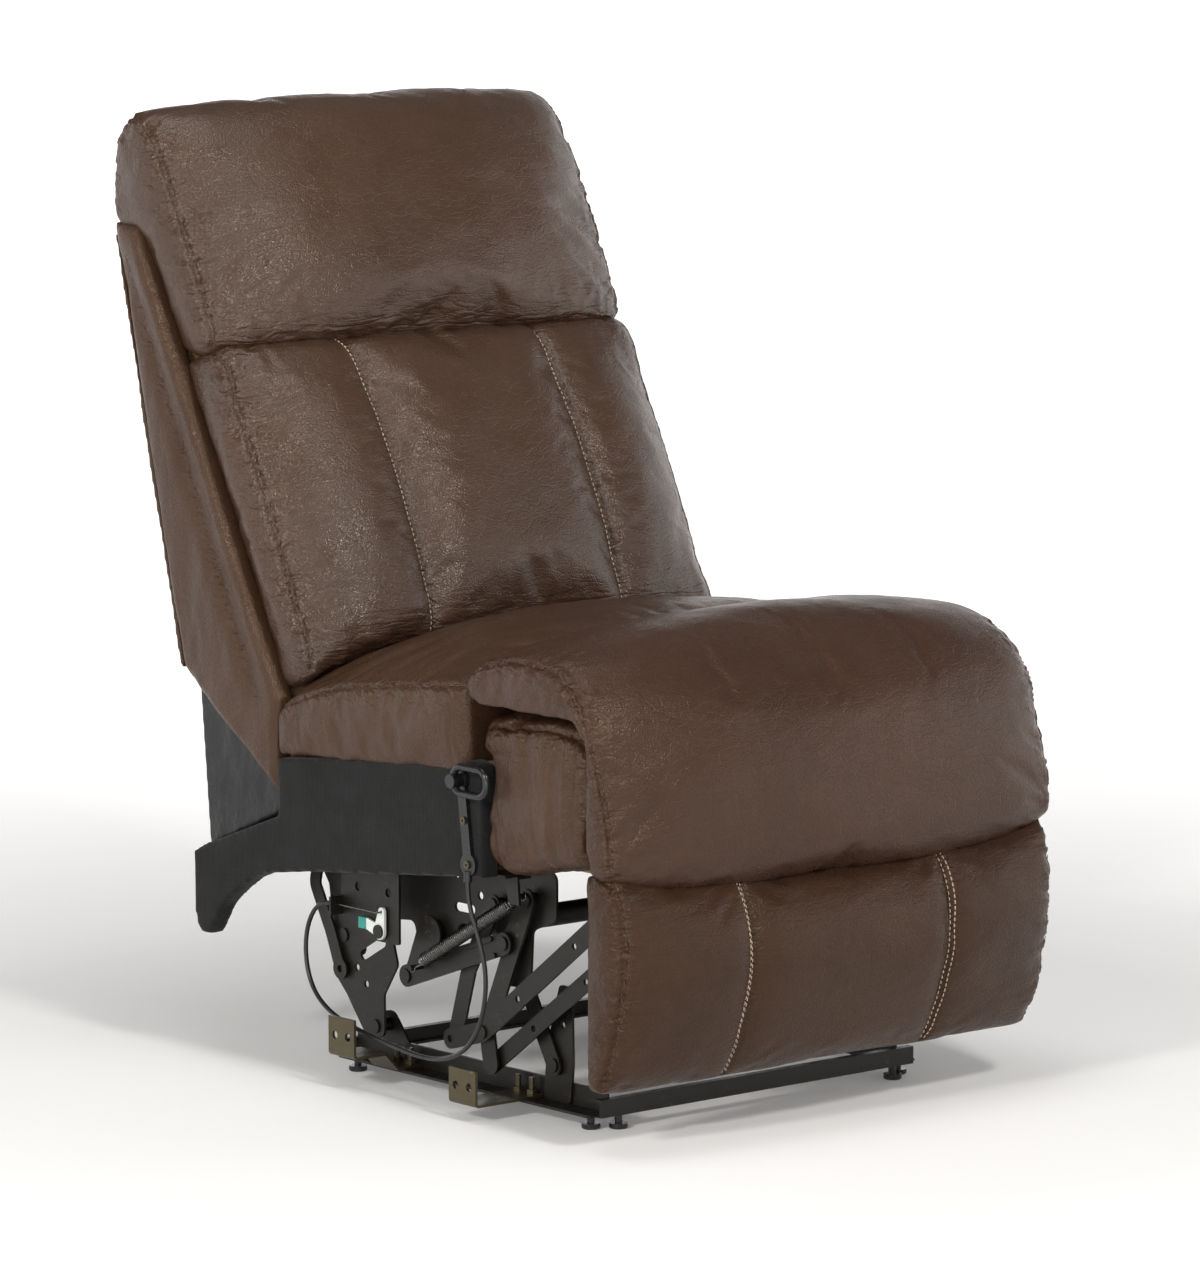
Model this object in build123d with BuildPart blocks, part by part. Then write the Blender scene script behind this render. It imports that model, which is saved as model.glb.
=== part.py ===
"""Armless recliner: a reclining seat on a wall-hugging steel mechanism.

Frame: +Z up, the front of the seat faces -Y, and the origin lies on the floor under the middle of the
whole object. The mechanism is a set of flat links that move in planes across X, mirrored left and right.
"""
import os
from math import cos, hypot, pi, radians, sin, tan

from build123d import *

os.makedirs("parts", exist_ok=True)

SIDES = (-1, 1)
SIDE_NAMES = ("left", "right")

# ---- driving dimensions, mm ----
seat_width = 616.0        # across the seat cushion's side bands
roll_overhang = 9.0       # front roll past the side bands, each side: the widest place
core_inset = 8.0          # padded core under the roll, inside the side bands
footrest_overhang = 1.0
wing_inset = 8.0          # leather wings of the back, inside the side bands
lumbar_inset = 15.0
head_inset = 12.0
total_height = 1040.0     # floor to the top of the head cushion
head_rise = 148.0         # head cushion's top above the back posts
front_reach = 462.0       # origin to the crown of the footrest pad

sheet = 3.0               # thickness of every link and plate
running = 0.05            # radial clearance of a pin in its hole
face_gap = 0.3            # clearance between faces that only just clear each other
soft_gap = 0.4            # clearance round cushions and covers
pin_radius = 4.0
collar_radius = 7.0
head_radius = 7.5
head_height = 2.0

# inner faces of the layers that the flat pieces lie in, measured from the middle plane
band_overhang = 8.0       # side bands of the seat past the wooden side rails
side_rail_width = 22.0
mechanism_inset = 105.0   # side bands to the base rails' upright webs
post_gap = 2.0            # base post to swing link
layer_gap = 3.0           # between neighbouring links, for the rivets' heads
rail_layer = seat_width / 2 - band_overhang - side_rail_width
web_layer = seat_width / 2 - mechanism_inset
post_layer = web_layer + sheet
swing_layer = post_layer + sheet + post_gap
plate_layer = swing_layer + sheet + post_gap
upper_layer = plate_layer + sheet + layer_gap
front_layer = upper_layer + sheet + layer_gap
lower_layer = front_layer + sheet + layer_gap
spring_centre = lower_layer + 16.0

# ---- pivots of the mechanism, (y, z) at rest ----
swing_reach = (54.0, 93.0)                 # base pivot to seat pivot, leaning back
front_base_pivot = (-214.0, 56.0)
rear_base_pivot = (72.0, 56.0)
front_link_pivot = (-190.2, 230.8)
rear_link_pivot = (-134.9, 218.1)
front_lower_joint = (-124.1, 81.0)
rear_lower_joint = (-70.4, 65.6)
lower_rest_joint = (-334.0, 238.4)
upper_rest_joint = (-344.0, 202.7)
front_upper_joint = (-130.1, 47.1)
drive_arm = (31.0, -50.0)                  # tube centre to its arm's pin, and the same on the front link
drive_span = (-163.0, 58.0)                # drive link, from the tube's arm to the front link's ear
spring_hook = (-23.0, 137.0)               # spring's lower hook, on the drive link
spring_anchor = (-208.0, 240.0)            # spring's upper hook, on the seat
back_pivot = (190.0, 300.0)
crank_link_joint = (127.0, 112.0)          # bell crank to back link
back_link_set = -25.0                      # the back link's upper pin, in front of the back pivot
recline_angle = 30.0
swing_angle = 60.0


def add(p, q):
    """Sum of two points."""
    return (p[0] + q[0], p[1] + q[1])


def minus(p, q):
    """Difference of two points."""
    return (p[0] - q[0], p[1] - q[1])


def turned(p, angle):
    """A (y, z) vector turned from +Y towards +Z."""
    a = radians(angle)
    return (p[0] * cos(a) - p[1] * sin(a), p[0] * sin(a) + p[1] * cos(a))


def between(p, q, share):
    """The point that lies a share of the way from p to q."""
    return (p[0] + (q[0] - p[0]) * share, p[1] + (q[1] - p[1]) * share)


front_seat_pivot = add(front_base_pivot, swing_reach)
rear_seat_pivot = add(rear_base_pivot, swing_reach)
tube_centre = minus(front_link_pivot, drive_span)
arm_pin = add(tube_centre, drive_arm)
ear_pin = add(front_link_pivot, drive_arm)


def link_top():
    """Upper pin of the back link: as far from the crank's pin at rest as with the back down."""
    crank_down = add(rear_seat_pivot, turned(minus(crank_link_joint, rear_seat_pivot), swing_angle))
    rest = minus(crank_link_joint, back_pivot)
    down = turned(minus(crank_down, back_pivot), recline_angle)
    lean = minus(down, rest)
    spare = (hypot(*down) ** 2 - hypot(*rest) ** 2) / 2
    return add(back_pivot, (back_link_set, (spare - back_link_set * lean[0]) / lean[1]))


back_link_joint = link_top()


# ---- helpers ----
def layer(side, x):
    """Plane across X at a distance from the middle, its own axes along Y and Z."""
    return Plane.YZ.offset(side * x)


def cylinder(side, at, x_from, x_to, radius, mode=Mode.ADD):
    """Round solid along X between two distances from the middle."""
    with BuildSketch(layer(side, x_from)) as disc:
        with Locations(at):
            Circle(radius)
    extrude(disc.sketch, amount=side * (x_to - x_from), mode=mode)


def stud(side, at, face, near, far):
    """Shoulder rivet staked into a plate's face: collar up to a link, shank through it and a head."""
    way = 1 if near > face else -1
    cylinder(side, at, face, near - way * face_gap, collar_radius)
    cylinder(side, at, face, far + way * face_gap, pin_radius)
    cylinder(side, at, far + way * face_gap, far + way * (face_gap + head_height), head_radius)


def stub(side, at, face, end, back, radius=collar_radius):
    """Rivet of a pivot that is left open: it stops short of the next link, and its head lies behind."""
    cylinder(side, at, face, end, radius)
    way = 1 if back > face else -1
    cylinder(side, at, back, back + way * head_height, radius)


def post(at, bottom, top, radius, mode=Mode.ADD):
    """Upright round solid at an (x, y) place."""
    with BuildSketch(Plane.XY.offset(bottom)) as disc:
        with Locations(at):
            Circle(radius)
    extrude(disc.sketch, amount=top - bottom, mode=mode)


def hexagon(at, bottom, top, radius):
    """Upright six-sided nut or head at an (x, y) place."""
    with BuildSketch(Plane.XY.offset(bottom)) as flats:
        with Locations(at):
            RegularPolygon(radius, 6)
    extrude(flats.sketch, amount=top - bottom)


def holes(places, radius):
    """Round holes through the face that is being drawn."""
    with Locations(*places):
        Circle(radius, mode=Mode.SUBTRACT)


def bar(ends, radius):
    """Straight flat bar with round ends."""
    with Locations(*ends):
        Circle(radius)
    make_hull()


def outline(points, radius=0.0):
    """Closed face through corner points, its corners rounded."""
    with BuildLine() as edge:
        Polyline(*points, close=True)
    make_face(edge.edges())
    if radius:
        fillet(vertices(), radius)


def slab(points, x_from, x_to, side=1, radius=0.0):
    """Board or panel across X, with its outline in Y and Z."""
    with BuildSketch(layer(side, x_from)) as face:
        outline(points, radius)
    extrude(face.sketch, amount=side * (x_to - x_from))


def box(x_from, x_to, y_from, y_to, z_from, z_to, side=1):
    """Upright block between six limits."""
    slab(((y_from, z_from), (y_to, z_from), (y_to, z_to), (y_from, z_to)), x_from, x_to, side)


def finish(part, name):
    """Label a finished piece and write it."""
    part.label = name
    export_step(part, f"parts/{name}.step")


# ---- base: rails, cross rails, posts, glides and the outriggers that hook onto the next seat ----
rail_front = -292.0
rail_rear = 128.0
rail_bottom = 14.0
rail_top = 40.0
flange_width = 29.0
flange_top = rail_bottom + sheet
lug_radius = 15.0
lug_foot = 34.0
bolt_line = web_layer + 11.0               # studs through the flange, clear of the moving links
bolt_radius = 3.0
front_connector_y = -167.5
rear_connector_y = 37.0
connector_hole_y = 11.0
flange_bolts = [(side * bolt_line, centre + y) for side in SIDES for centre in (front_connector_y,
                                                                                rear_connector_y)
                for y in (-connector_hole_y, connector_hole_y)]
cross_half = web_layer + 19.0
cross_height = 19.0
cross_depth = 9.0

for side, name in zip(SIDES, SIDE_NAMES):
    with BuildPart() as base_rail:
        with BuildSketch(layer(side, web_layer)):
            with Locations(((rail_front + rail_rear) / 2, (rail_bottom + rail_top) / 2)):
                Rectangle(rail_rear - rail_front, rail_top - rail_bottom)
        extrude(amount=side * sheet)
        with BuildSketch(layer(side, web_layer)):
            with Locations((rear_base_pivot[0], rail_top - lug_radius / 2)):
                Rectangle(2 * lug_foot, lug_radius)
            with Locations(rear_base_pivot):
                Circle(lug_radius)
            make_hull()
        extrude(amount=side * sheet)
        with BuildSketch(Plane.XY.offset(rail_bottom)):
            with Locations((side * (web_layer + flange_width / 2), (rail_front + rail_rear) / 2)):
                Rectangle(flange_width, rail_rear - rail_front)
        extrude(amount=sheet)
        for place in flange_bolts:
            post(place, rail_bottom - 1, flange_top + 1, bolt_radius + running, Mode.SUBTRACT)
        stud(side, rear_base_pivot, post_layer, upper_layer, upper_layer + sheet)
    finish(base_rail.part, f"{name}_base_rail")

for name, start, way in (("front_cross_rail", rail_front, -1), ("rear_cross_rail", rail_rear, 1)):
    with BuildPart() as cross_rail:
        with BuildSketch(Plane.YZ.offset(-cross_half)):
            with Locations((start + way * cross_depth / 2, rail_bottom + cross_height / 2)):
                Rectangle(cross_depth, cross_height)
            with Locations((start + way * (cross_depth - sheet) / 2, rail_bottom + cross_height / 2)):
                Rectangle(cross_depth - sheet, cross_height - 2 * sheet, mode=Mode.SUBTRACT)
        extrude(amount=2 * cross_half)
    finish(cross_rail.part, name)

post_foot = 22.0
post_top = 142.0
for side, name in zip(SIDES, SIDE_NAMES):
    with BuildPart() as front_post:
        with BuildSketch(layer(side, post_layer)):
            outline(((front_base_pivot[0] - post_foot, flange_top),
                     (front_base_pivot[0] + post_foot, flange_top),
                     (front_base_pivot[0] + 16, 74), (front_base_pivot[0] - 4, post_top),
                     (front_base_pivot[0] - 24, post_top), (front_base_pivot[0] - 26, 60)), 5)
            holes(((front_base_pivot[0] - 12, post_top - 16), (front_base_pivot[0] - 10, 100)), 3.5)
        extrude(amount=side * sheet)
        stud(side, front_base_pivot, post_layer + sheet, swing_layer, swing_layer + sheet)
    finish(front_post.part, f"{name}_front_post")

glide_radius = 10.0
glide_height = 6.0
glide_stem = 4.0
glide_places = [(side * (web_layer + off), y) for side in SIDES for off,
                y in ((15, -280), (-8, -297), (15, 112))]
with BuildPart() as floor_glides:
    for place in glide_places:
        post(place, 0, glide_height, glide_radius)
    chamfer(edges().group_by(Axis.Z)[0], 1.2)
    for place in glide_places:
        post(place, glide_height, rail_bottom, glide_stem)
finish(floor_glides.part, "floor_glides")

connector_width = 44.0
connector_outer = rail_layer + side_rail_width
connector_sheet = 3.2
connector_hole = 4.5
front_connector_top = 56.0
rear_connector_top = 80.0
rear_arm_height = 38.0
arm_line = flange_top + connector_sheet / 2
plate_line = connector_outer - connector_sheet / 2


def connector(side, centre_y, path, hole_z):
    """Outrigger bent from strip, with its bolt hole in the upright end."""
    with BuildSketch(Plane.XZ.offset(-centre_y - connector_width / 2)) as strip:
        with BuildLine():
            FilletPolyline(*[(side * x, z) for x, z in path], radius=4)
        trace(line_width=connector_sheet)
    extrude(strip.sketch, amount=connector_width)
    for y in (-connector_hole_y, connector_hole_y):
        cylinder(side, (centre_y + y, hole_z), connector_outer - 8, connector_outer + 1, connector_hole,
                 Mode.SUBTRACT)
    for y in (-connector_hole_y, connector_hole_y):
        post((side * bolt_line, centre_y + y), flange_top - 1, flange_top + connector_sheet + 1,
             bolt_radius + running, Mode.SUBTRACT)


front_path = ((plate_line, front_connector_top), (plate_line, arm_line), (web_layer + sheet + 1, arm_line))
rear_path = ((plate_line, rear_connector_top), (plate_line, rear_arm_height),
             (lower_layer + 22, rear_arm_height),
             (lower_layer + 4, arm_line), (web_layer + sheet + 1, arm_line))
front_hole_z = 38.0
rear_hole_z = 60.0
with BuildPart() as front_connectors:
    for side in SIDES:
        connector(side, front_connector_y, front_path, front_hole_z)
finish(front_connectors.part, "front_connectors")
with BuildPart() as rear_connectors:
    for side in SIDES:
        connector(side, rear_connector_y, rear_path, rear_hole_z)
finish(rear_connectors.part, "rear_connectors")

nut_radius = 6.0
nut_height = 5.0
stud_top = 38.0
with BuildPart() as connector_bolts:
    for place in flange_bolts:
        hexagon(place, rail_bottom - 3, rail_bottom, nut_radius)
        post(place, rail_bottom - 1, stud_top, bolt_radius)
        hexagon(place, flange_top + connector_sheet, flange_top + connector_sheet + nut_height, nut_radius)
finish(connector_bolts.part, "connector_bolts")


# ---- swing links and bell cranks, which carry the seat forward ----
link_half = 11.0

with BuildPart() as swing_links:
    for side in SIDES:
        with BuildSketch(layer(side, swing_layer)) as link:
            bar((front_base_pivot, front_seat_pivot), link_half)
            holes((front_base_pivot, front_seat_pivot), pin_radius + running)
            holes((between(front_base_pivot, front_seat_pivot, 0.5),), 3.0)
        extrude(link.sketch, amount=side * sheet)
finish(swing_links.part, "swing_links")

crank_outline = ((144, 168), (104, 178), (48, 172), (34, 128), (58, 92), (57, 46), (88, 42), (122, 84),
                 (143, 104))
crank_slot = ((60.0, 150.0), (92.0, 132.0))
with BuildPart() as bell_cranks:
    for side in SIDES:
        with BuildSketch(layer(side, upper_layer)) as crank:
            outline(crank_outline, 9)
            holes((rear_base_pivot, rear_seat_pivot), pin_radius + running)
            holes(((88, 100), (104, 116)), 4.0)
        extrude(crank.sketch, amount=side * sheet)
        with BuildSketch(layer(side, upper_layer)) as slot:
            bar(crank_slot, 6)
        extrude(slot.sketch, amount=side * sheet, mode=Mode.SUBTRACT)
        stub(side, crank_link_joint, upper_layer + sheet, front_layer - face_gap, upper_layer)
finish(bell_cranks.part, "bell_cranks")

# ---- seat plates and the angles that carry the wooden rails ----
plate_outline = ((-225, 262), (-225, 212), (-186, 196), (-182, 132), (-138, 132), (-128, 190), (-62, 188),
                 (-58, 146), (4, 146), (12, 180), (92, 172), (100, 128), (150, 128), (160, 200), (216, 276),
                 (216, 322), (168, 322), (150, 262))
plate_holes = ((-160, 178), (-100, 222), (-60, 240), (40, 212), (100, 196), (128, 180), (168, 262))
plate_slots = (((-86, 205), (-62, 205)), ((60, 240), (100, 240)), ((0, 236), (22, 236)))
angle_front = -213.0
angle_rear = 90.0
angle_leg = 22.0
seat_line = 262.0

for side, name in zip(SIDES, SIDE_NAMES):
    with BuildPart() as seat_plate:
        with BuildSketch(layer(side, plate_layer)) as plate:
            outline(plate_outline, 9)
            holes((tube_centre,), 12.5 + running)
            holes(plate_holes, 4.5)
        extrude(plate.sketch, amount=side * sheet)
        for ends in plate_slots:
            with BuildSketch(layer(side, plate_layer)) as slot:
                bar(ends, 5)
            extrude(slot.sketch, amount=side * sheet, mode=Mode.SUBTRACT)
        stud(side, front_seat_pivot, plate_layer, swing_layer + sheet, swing_layer)
        for at in (front_link_pivot, rear_link_pivot):
            stud(side, at, plate_layer + sheet, front_layer, front_layer + sheet)
        for at in (rear_seat_pivot, back_pivot):
            stud(side, at, plate_layer + sheet, upper_layer, upper_layer + sheet)
    finish(seat_plate.part, f"{name}_seat_plate")

with BuildPart() as seat_angles:
    for side in SIDES:
        box(plate_layer - sheet, plate_layer, angle_front, angle_rear, seat_line - angle_leg, seat_line, side)
        box(plate_layer, rail_layer, angle_front, angle_rear, seat_line, seat_line + sheet, side)
        box(plate_layer - sheet, plate_layer, angle_front, angle_rear, seat_line, seat_line + sheet, side)
        box(rail_layer - sheet, rail_layer, angle_front + 14, angle_rear, seat_line + sheet,
            seat_line + 24, side)
finish(seat_angles.part, "seat_angles")

# ---- wooden seat frame ----
rail_rise = 37.0 / 334.0                   # the side rails climb towards the front


def rail_height(y):
    """Height of the side rails' top edge."""
    return 348.0 + (149.0 - y) * rail_rise


side_rail_outline = ((146, 286), (146, rail_height(146)), (-184, rail_height(-184)), (-196, 382), (-201, 370),
                     (-204, 264), (98, 230), (170, 219), (196, 209), (224, 191), (246, 174), (262,
                                                                                              150), (271,
                                                                                                     138),
                     (286, 138), (295, 150), (299, 190), (299, 227), (283, 236))
for side, name in zip(SIDES, SIDE_NAMES):
    with BuildPart() as side_rail:
        slab(side_rail_outline, rail_layer, rail_layer + side_rail_width, side)
    finish(side_rail.part, f"{name}_side_rail")

board = 22.0
rail_drop = 2.5                            # the cross rails' tops lie under the side rails' line
front_rail_y = -180.0
rear_rail_y = 96.0
frame_bottom = seat_line + sheet
for y_front, name in ((front_rail_y, "seat_front_rail"), (rear_rail_y, "seat_rear_rail")):
    with BuildPart() as seat_rail:
        slab(((y_front, frame_bottom), (y_front + board, frame_bottom),
              (y_front + board, rail_height(y_front + board) - rail_drop), (y_front,
                                                                            rail_height(y_front) - rail_drop)),
             -rail_layer + sheet, rail_layer - sheet)
    finish(seat_rail.part, name)

strap_width = 56.0
strap_thick = 2.0
strap_count = 5
strap_edge = 42.0                          # outer straps' middles inside the side rails
strap_pitch = 2 * (rail_layer - strap_edge - strap_width / 2) / (strap_count - 1)
strap_line = ((front_rail_y + 2, rail_height(front_rail_y + 2) - rail_drop),
              (rear_rail_y + board - 2, rail_height(rear_rail_y + board - 2) - rail_drop))
with BuildPart() as seat_webbing:
    for index in range(strap_count):
        middle = (index - (strap_count - 1) / 2) * strap_pitch
        slab((strap_line[0], strap_line[1], add(strap_line[1], (0, strap_thick)),
              add(strap_line[0], (0, strap_thick))),
             middle - strap_width / 2, middle + strap_width / 2)
finish(seat_webbing.part, "seat_webbing")

deck_half = web_layer - 3.0
deck_front = -352.0
deck_top = frame_bottom + 12.0
with BuildPart() as front_deck:
    box(-deck_half, deck_half, deck_front, front_rail_y, frame_bottom, deck_top)
finish(front_deck.part, "front_deck")


# ---- cushions, lofted through stations across the seat ----
def swell(points, rise):
    """Closed outline through corner points whose sides all bulge outwards by a share of their length."""
    area = sum(p[0] * q[1] - q[0] * p[1] for p, q in zip(points, points[1:] + points[:1]))
    way = 1 if area > 0 else -1
    with BuildLine() as edge:
        for p, q, bulge in zip(points, points[1:] + points[:1], rise):
            if bulge:
                lean = minus(q, p)
                middle = add(between(p, q, 0.5), (way * bulge * lean[1], -way * bulge * lean[0]))
                ThreePointArc(p, middle, q)
            else:
                Line(p, q)
    make_face(edge.edges())


def cushion(half_width, side_points, middle_points, rise, flat, crown=1.0, channels=()):
    """Cushion lofted across X from its side outline to its fuller middle, its ends drawn in.

    The numbered flat corners lie on a board or a frame, so they stay where they are at the ends.
    """
    centre = (sum(p[0] for p in side_points) / len(side_points),
              sum(p[1] for p in side_points) / len(side_points))
    seam = half_width - seam_edge
    shares = {seam * part: crown * (1 - part ** crown_power) for part in crown_parts}
    for place in channels:
        for off in (-channel_half, channel_half):
            shares[place + off] = crown * (1 - ((place + off) / seam) ** crown_power)
        shares[place] = shares[place - channel_half] * channel_dip
    stations = [(x, share, 1.0) for x, share in sorted(shares.items())]
    stations += [(seam, 0.0, 1.0), (half_width - seam_edge / 4, 0.0, seam_draw), (half_width, 0.0, end_draw)]
    stations = [(-x, share, draw) for x, share, draw in reversed(stations) if x] + stations
    faces = []
    for x, share, draw in stations:
        points = [between(p, q, share) for p, q in zip(side_points, middle_points)]
        points = [p if number in flat else between(centre, p, draw) for number, p in enumerate(points)]
        with BuildSketch(Plane.YZ.offset(x)) as station:
            swell(points, rise)
        faces.append(station.sketch.face())
    loft(faces, ruled=True)


seam_edge = 18.0
seam_draw = 0.975
end_draw = 0.92
crown_power = 2.3
crown_parts = (0.0, 0.3, 0.55, 0.78, 0.92)
channel_half = 16.0
channel_dip = 0.72
seat_half = seat_width / 2
seat_low = 0.5
seat_side = [(147, rail_height(147) + seat_low), (147, 404), (127, 416), (39, 443), (-70, 458), (-183, 470),
             (-183, rail_height(-183) + seat_low)]
seat_middle = [(147, rail_height(147) + seat_low), (147, 422), (98, 472), (30, 490), (-80, 504), (-183, 508),
               (-183, rail_height(-183) + seat_low)]
seat_rise = (0, 0, 0.06, 0.04, 0.03, 0, 0)
with BuildPart() as seat_cushion:
    cushion(seat_half, seat_side, seat_middle, seat_rise, (0, 1, 5, 6))
finish(seat_cushion.part, "seat_cushion")

core_half = seat_width / 2 - core_inset
core_side = [(-187, 433), (-368, 428), (-368, 304), (-304, deck_top + 2), (-205, deck_top + 0.4),
             (-205, 387.5),
             (-187, 387.5)]
with BuildPart() as front_core_pad:
    cushion(core_half, core_side, core_side, (0.015, 0.03, 0.03, 0, 0, 0, 0), (0, 3, 4, 5, 6))
finish(front_core_pad.part, "front_core_pad")

roll_half = seat_width / 2 + roll_overhang
roll_side = [(-187, 434.6), (-187, 478), (-232, 498), (-329, 498), (-376, 460), (-404, 392), (-423, 312),
             (-411, 286),
             (-372.1, 292), (-372.1, 434), (-360, 437)]
roll_middle = [(-187, 434.6), (-187, 504), (-240, 526), (-320, 531), (-392, 500), (-430, 430), (-446, 350),
               (-426, 286),
               (-372.1, 292), (-372.1, 434), (-360, 437)]
roll_rise = (0, 0.05, 0.04, 0.06, 0.05, 0.04, 0.1, 0.02, 0, 0, 0)
with BuildPart() as front_roll:
    cushion(roll_half, roll_side, roll_middle, roll_rise, (0, 1, 8, 9, 10))
finish(front_roll.part, "front_roll")

# ---- back: posts, rails, webbing, brackets, cushions and covers ----
crease_foot = (148.0, 411.0)                        # foot of the crease between the wings and the cushions
# the back leans rearwards by this much a millimetre of rise
crease_lean = 246.0 / 481.0
panel_foot = (318.0, 427.0)                         # foot of the wings' and posts' rear edges
panel_depth = 40.0                                  # crease to rear edge at the top of the posts
panel_drop = 5.0
post_height = total_height - head_rise - crease_foot[1]
back_line = (crease_foot, add(crease_foot, (crease_lean * post_height, post_height)))
panel_line = (panel_foot, add(back_line[1], (panel_depth, panel_drop)))
post_outer = rail_layer - 2.0
post_width = 20.0
post_inner = post_outer - post_width
wing_layer = post_outer + face_gap
wing_outer = seat_width / 2 - wing_inset
webbing_depth = 3.0                                 # posts' front edges behind the crease line
back_span = hypot(*minus(back_line[1], back_line[0]))
back_way = ((back_line[1][0] - back_line[0][0]) / back_span, (back_line[1][1] - back_line[0][1]) / back_span)


def on_back(along, forward):
    """Point at a distance up the crease line and in front of it."""
    y = back_line[0][0] + along * back_way[0] - forward * back_way[1]
    return (y, back_line[0][1] + along * back_way[1] + forward * back_way[0])


def back_outline(forward):
    """Side outline of the back, its front edge set from the crease line."""
    low = on_back(0, forward)
    return ((low[0], 308), low, on_back(back_span, forward), panel_line[1], panel_line[0])


for side, name in zip(SIDES, SIDE_NAMES):
    with BuildPart() as back_post:
        slab(back_outline(-webbing_depth), post_inner, post_outer, side)
    finish(back_post.part, f"{name}_back_post")
    with BuildPart() as wing:
        slab(back_outline(-1.2), wing_layer, wing_outer, side)
        fillet(wing.faces().sort_by(Axis.X)[0 if side < 0 else -1].edges(), 9)
    finish(wing.part, f"{name}_wing")

head_span = 148.26                                  # lumbar cushion's top below the posts' top
lumbar_length = back_span - head_span
lumbar_stretch = lumbar_length / 392.0              # against the length that its outlines are drawn at
back_rail_depth = 20.0
with BuildPart() as back_cross_rails:
    for low, high in ((lumbar_length - 4, lumbar_length + 38), (back_span - 72, back_span - 16)):
        slab((on_back(low, -webbing_depth), on_back(high, -webbing_depth),
              on_back(high, -webbing_depth - back_rail_depth), on_back(low,
                                                                       -webbing_depth - back_rail_depth)),
             -post_inner, post_inner)
    box(-post_inner, post_inner, 256, 276, 352, 408)
finish(back_cross_rails.part, "back_cross_rails")

back_strap = 52.0 * lumbar_stretch
with BuildPart() as back_webbing:
    for along in (70 * lumbar_stretch, 150 * lumbar_stretch, 230 * lumbar_stretch, 310 * lumbar_stretch):
        slab((on_back(along, -webbing_depth), on_back(along + back_strap, -webbing_depth),
              on_back(along + back_strap, strap_thick - webbing_depth), on_back(along,
                                                                                strap_thick - webbing_depth)),
             -post_outer, post_outer)
finish(back_webbing.part, "back_webbing")

bracket_top = 345.0
with BuildPart() as back_brackets:
    for side in SIDES:
        with BuildSketch(layer(side, upper_layer)) as lower:
            with Locations(back_pivot):
                Circle(15)
            with Locations(back_link_joint):
                Circle(12)
            make_hull()
            outline(((176, 300), (205, 300), (228, 332), (228, bracket_top + sheet),
                     (176, bracket_top + sheet)))
            holes((back_pivot,), pin_radius + running)
        extrude(lower.sketch, amount=side * sheet)
        box(upper_layer, post_inner, 176, 228, bracket_top, bracket_top + sheet, side)
        slab(((176, bracket_top), (228, bracket_top), (236, 380), (250, 452), (232, 460), (206, 452),
              (182, 392)),
             post_inner - sheet, post_inner, side)
        stud(side, back_link_joint, upper_layer + sheet, front_layer, front_layer + sheet)
        for at in ((206, 372), (228, 436)):
            cylinder(side, at, post_inner - sheet, post_inner - sheet - 3, 5)
finish(back_brackets.part, "back_brackets")

back_link_bends = ((144, 152), (171, 201))
with BuildPart() as back_links:
    for side in SIDES:
        places = (crank_link_joint, *back_link_bends, back_link_joint)
        with BuildSketch(layer(side, front_layer)) as link:
            with BuildLine():
                FilletPolyline(*places, radius=14)
            trace(line_width=17)
            with Locations(crank_link_joint, back_link_joint):
                Circle(11.5)
            holes((crank_link_joint, back_link_joint), pin_radius + running)
        extrude(link.sketch, amount=side * sheet)
finish(back_links.part, "back_links")

cushion_line = -0.6                                 # cushions' rear faces, just in front of the webbing
lumbar_side = [on_back(along * lumbar_stretch, forward) for along, forward in (
    (16, cushion_line), (17, 52), (93, 56), (207, 61), (301, 56), (364, 65), (392, cushion_line))]
lumbar_middle = [on_back(along * lumbar_stretch, forward) for along, forward in (
    (16, cushion_line), (42, 87), (93, 113), (209, 117), (306, 107), (364, 86), (392, cushion_line))]
lumbar_rise = (0.05, 0.08, 0.02, -0.02, 0.06, 0.03, 0)
lumbar_half = seat_width / 2 - lumbar_inset
lumbar_channel = 146.0
with BuildPart() as lumbar_cushion:
    cushion(lumbar_half, lumbar_side, lumbar_middle, lumbar_rise, (0, 6), channels=(lumbar_channel,))
finish(lumbar_cushion.part, "lumbar_cushion")

head_base = lumbar_length + 8.0


def head_outline(places):
    """Outline of the head cushion: places up from its foot, past the posts' top, and forward of the crease."""
    stretch = (back_span - head_base) / (540.0 - 400.0)
    return [on_back(head_base + (up * stretch if up < 180 else up + back_span - 540), forward) for up,
            forward in places]


head_side = head_outline(((4, cushion_line), (-15, 58), (37, 71), (107, 73), (179, 71), (246, 61), (267, 32),
                          (226, -19), (170, -34), (148, cushion_line)))
head_middle = head_outline(((4, cushion_line), (-24, 89), (27, 120), (101, 128), (179, 126), (237, 105),
                            (271, 56),
                            (242, -22), (174, -37), (148, cushion_line)))
head_bulge = (0.04, 0.1, 0.03, 0.02, 0.03, 0.1, 0.1, 0.04, 0, 0)
head_half = seat_width / 2 - head_inset
with BuildPart() as head_cushion:
    cushion(head_half, head_side, head_middle, head_bulge, (0, 8, 9))
finish(head_cushion.part, "head_cushion")

panel_thick = 5.0
panel_half = wing_outer - 4.0
panel_span = hypot(*minus(panel_line[1], panel_line[0]))
panel_way = turned(minus(panel_line[1], panel_line[0]), -90)
with BuildPart() as outside_back:
    off = (panel_way[0] * panel_thick / panel_span, panel_way[1] * panel_thick / panel_span)
    slab((panel_line[0], panel_line[1], add(panel_line[1], off), add(panel_line[0], off)), -panel_half,
         panel_half)
finish(outside_back.part, "outside_back")

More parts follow.
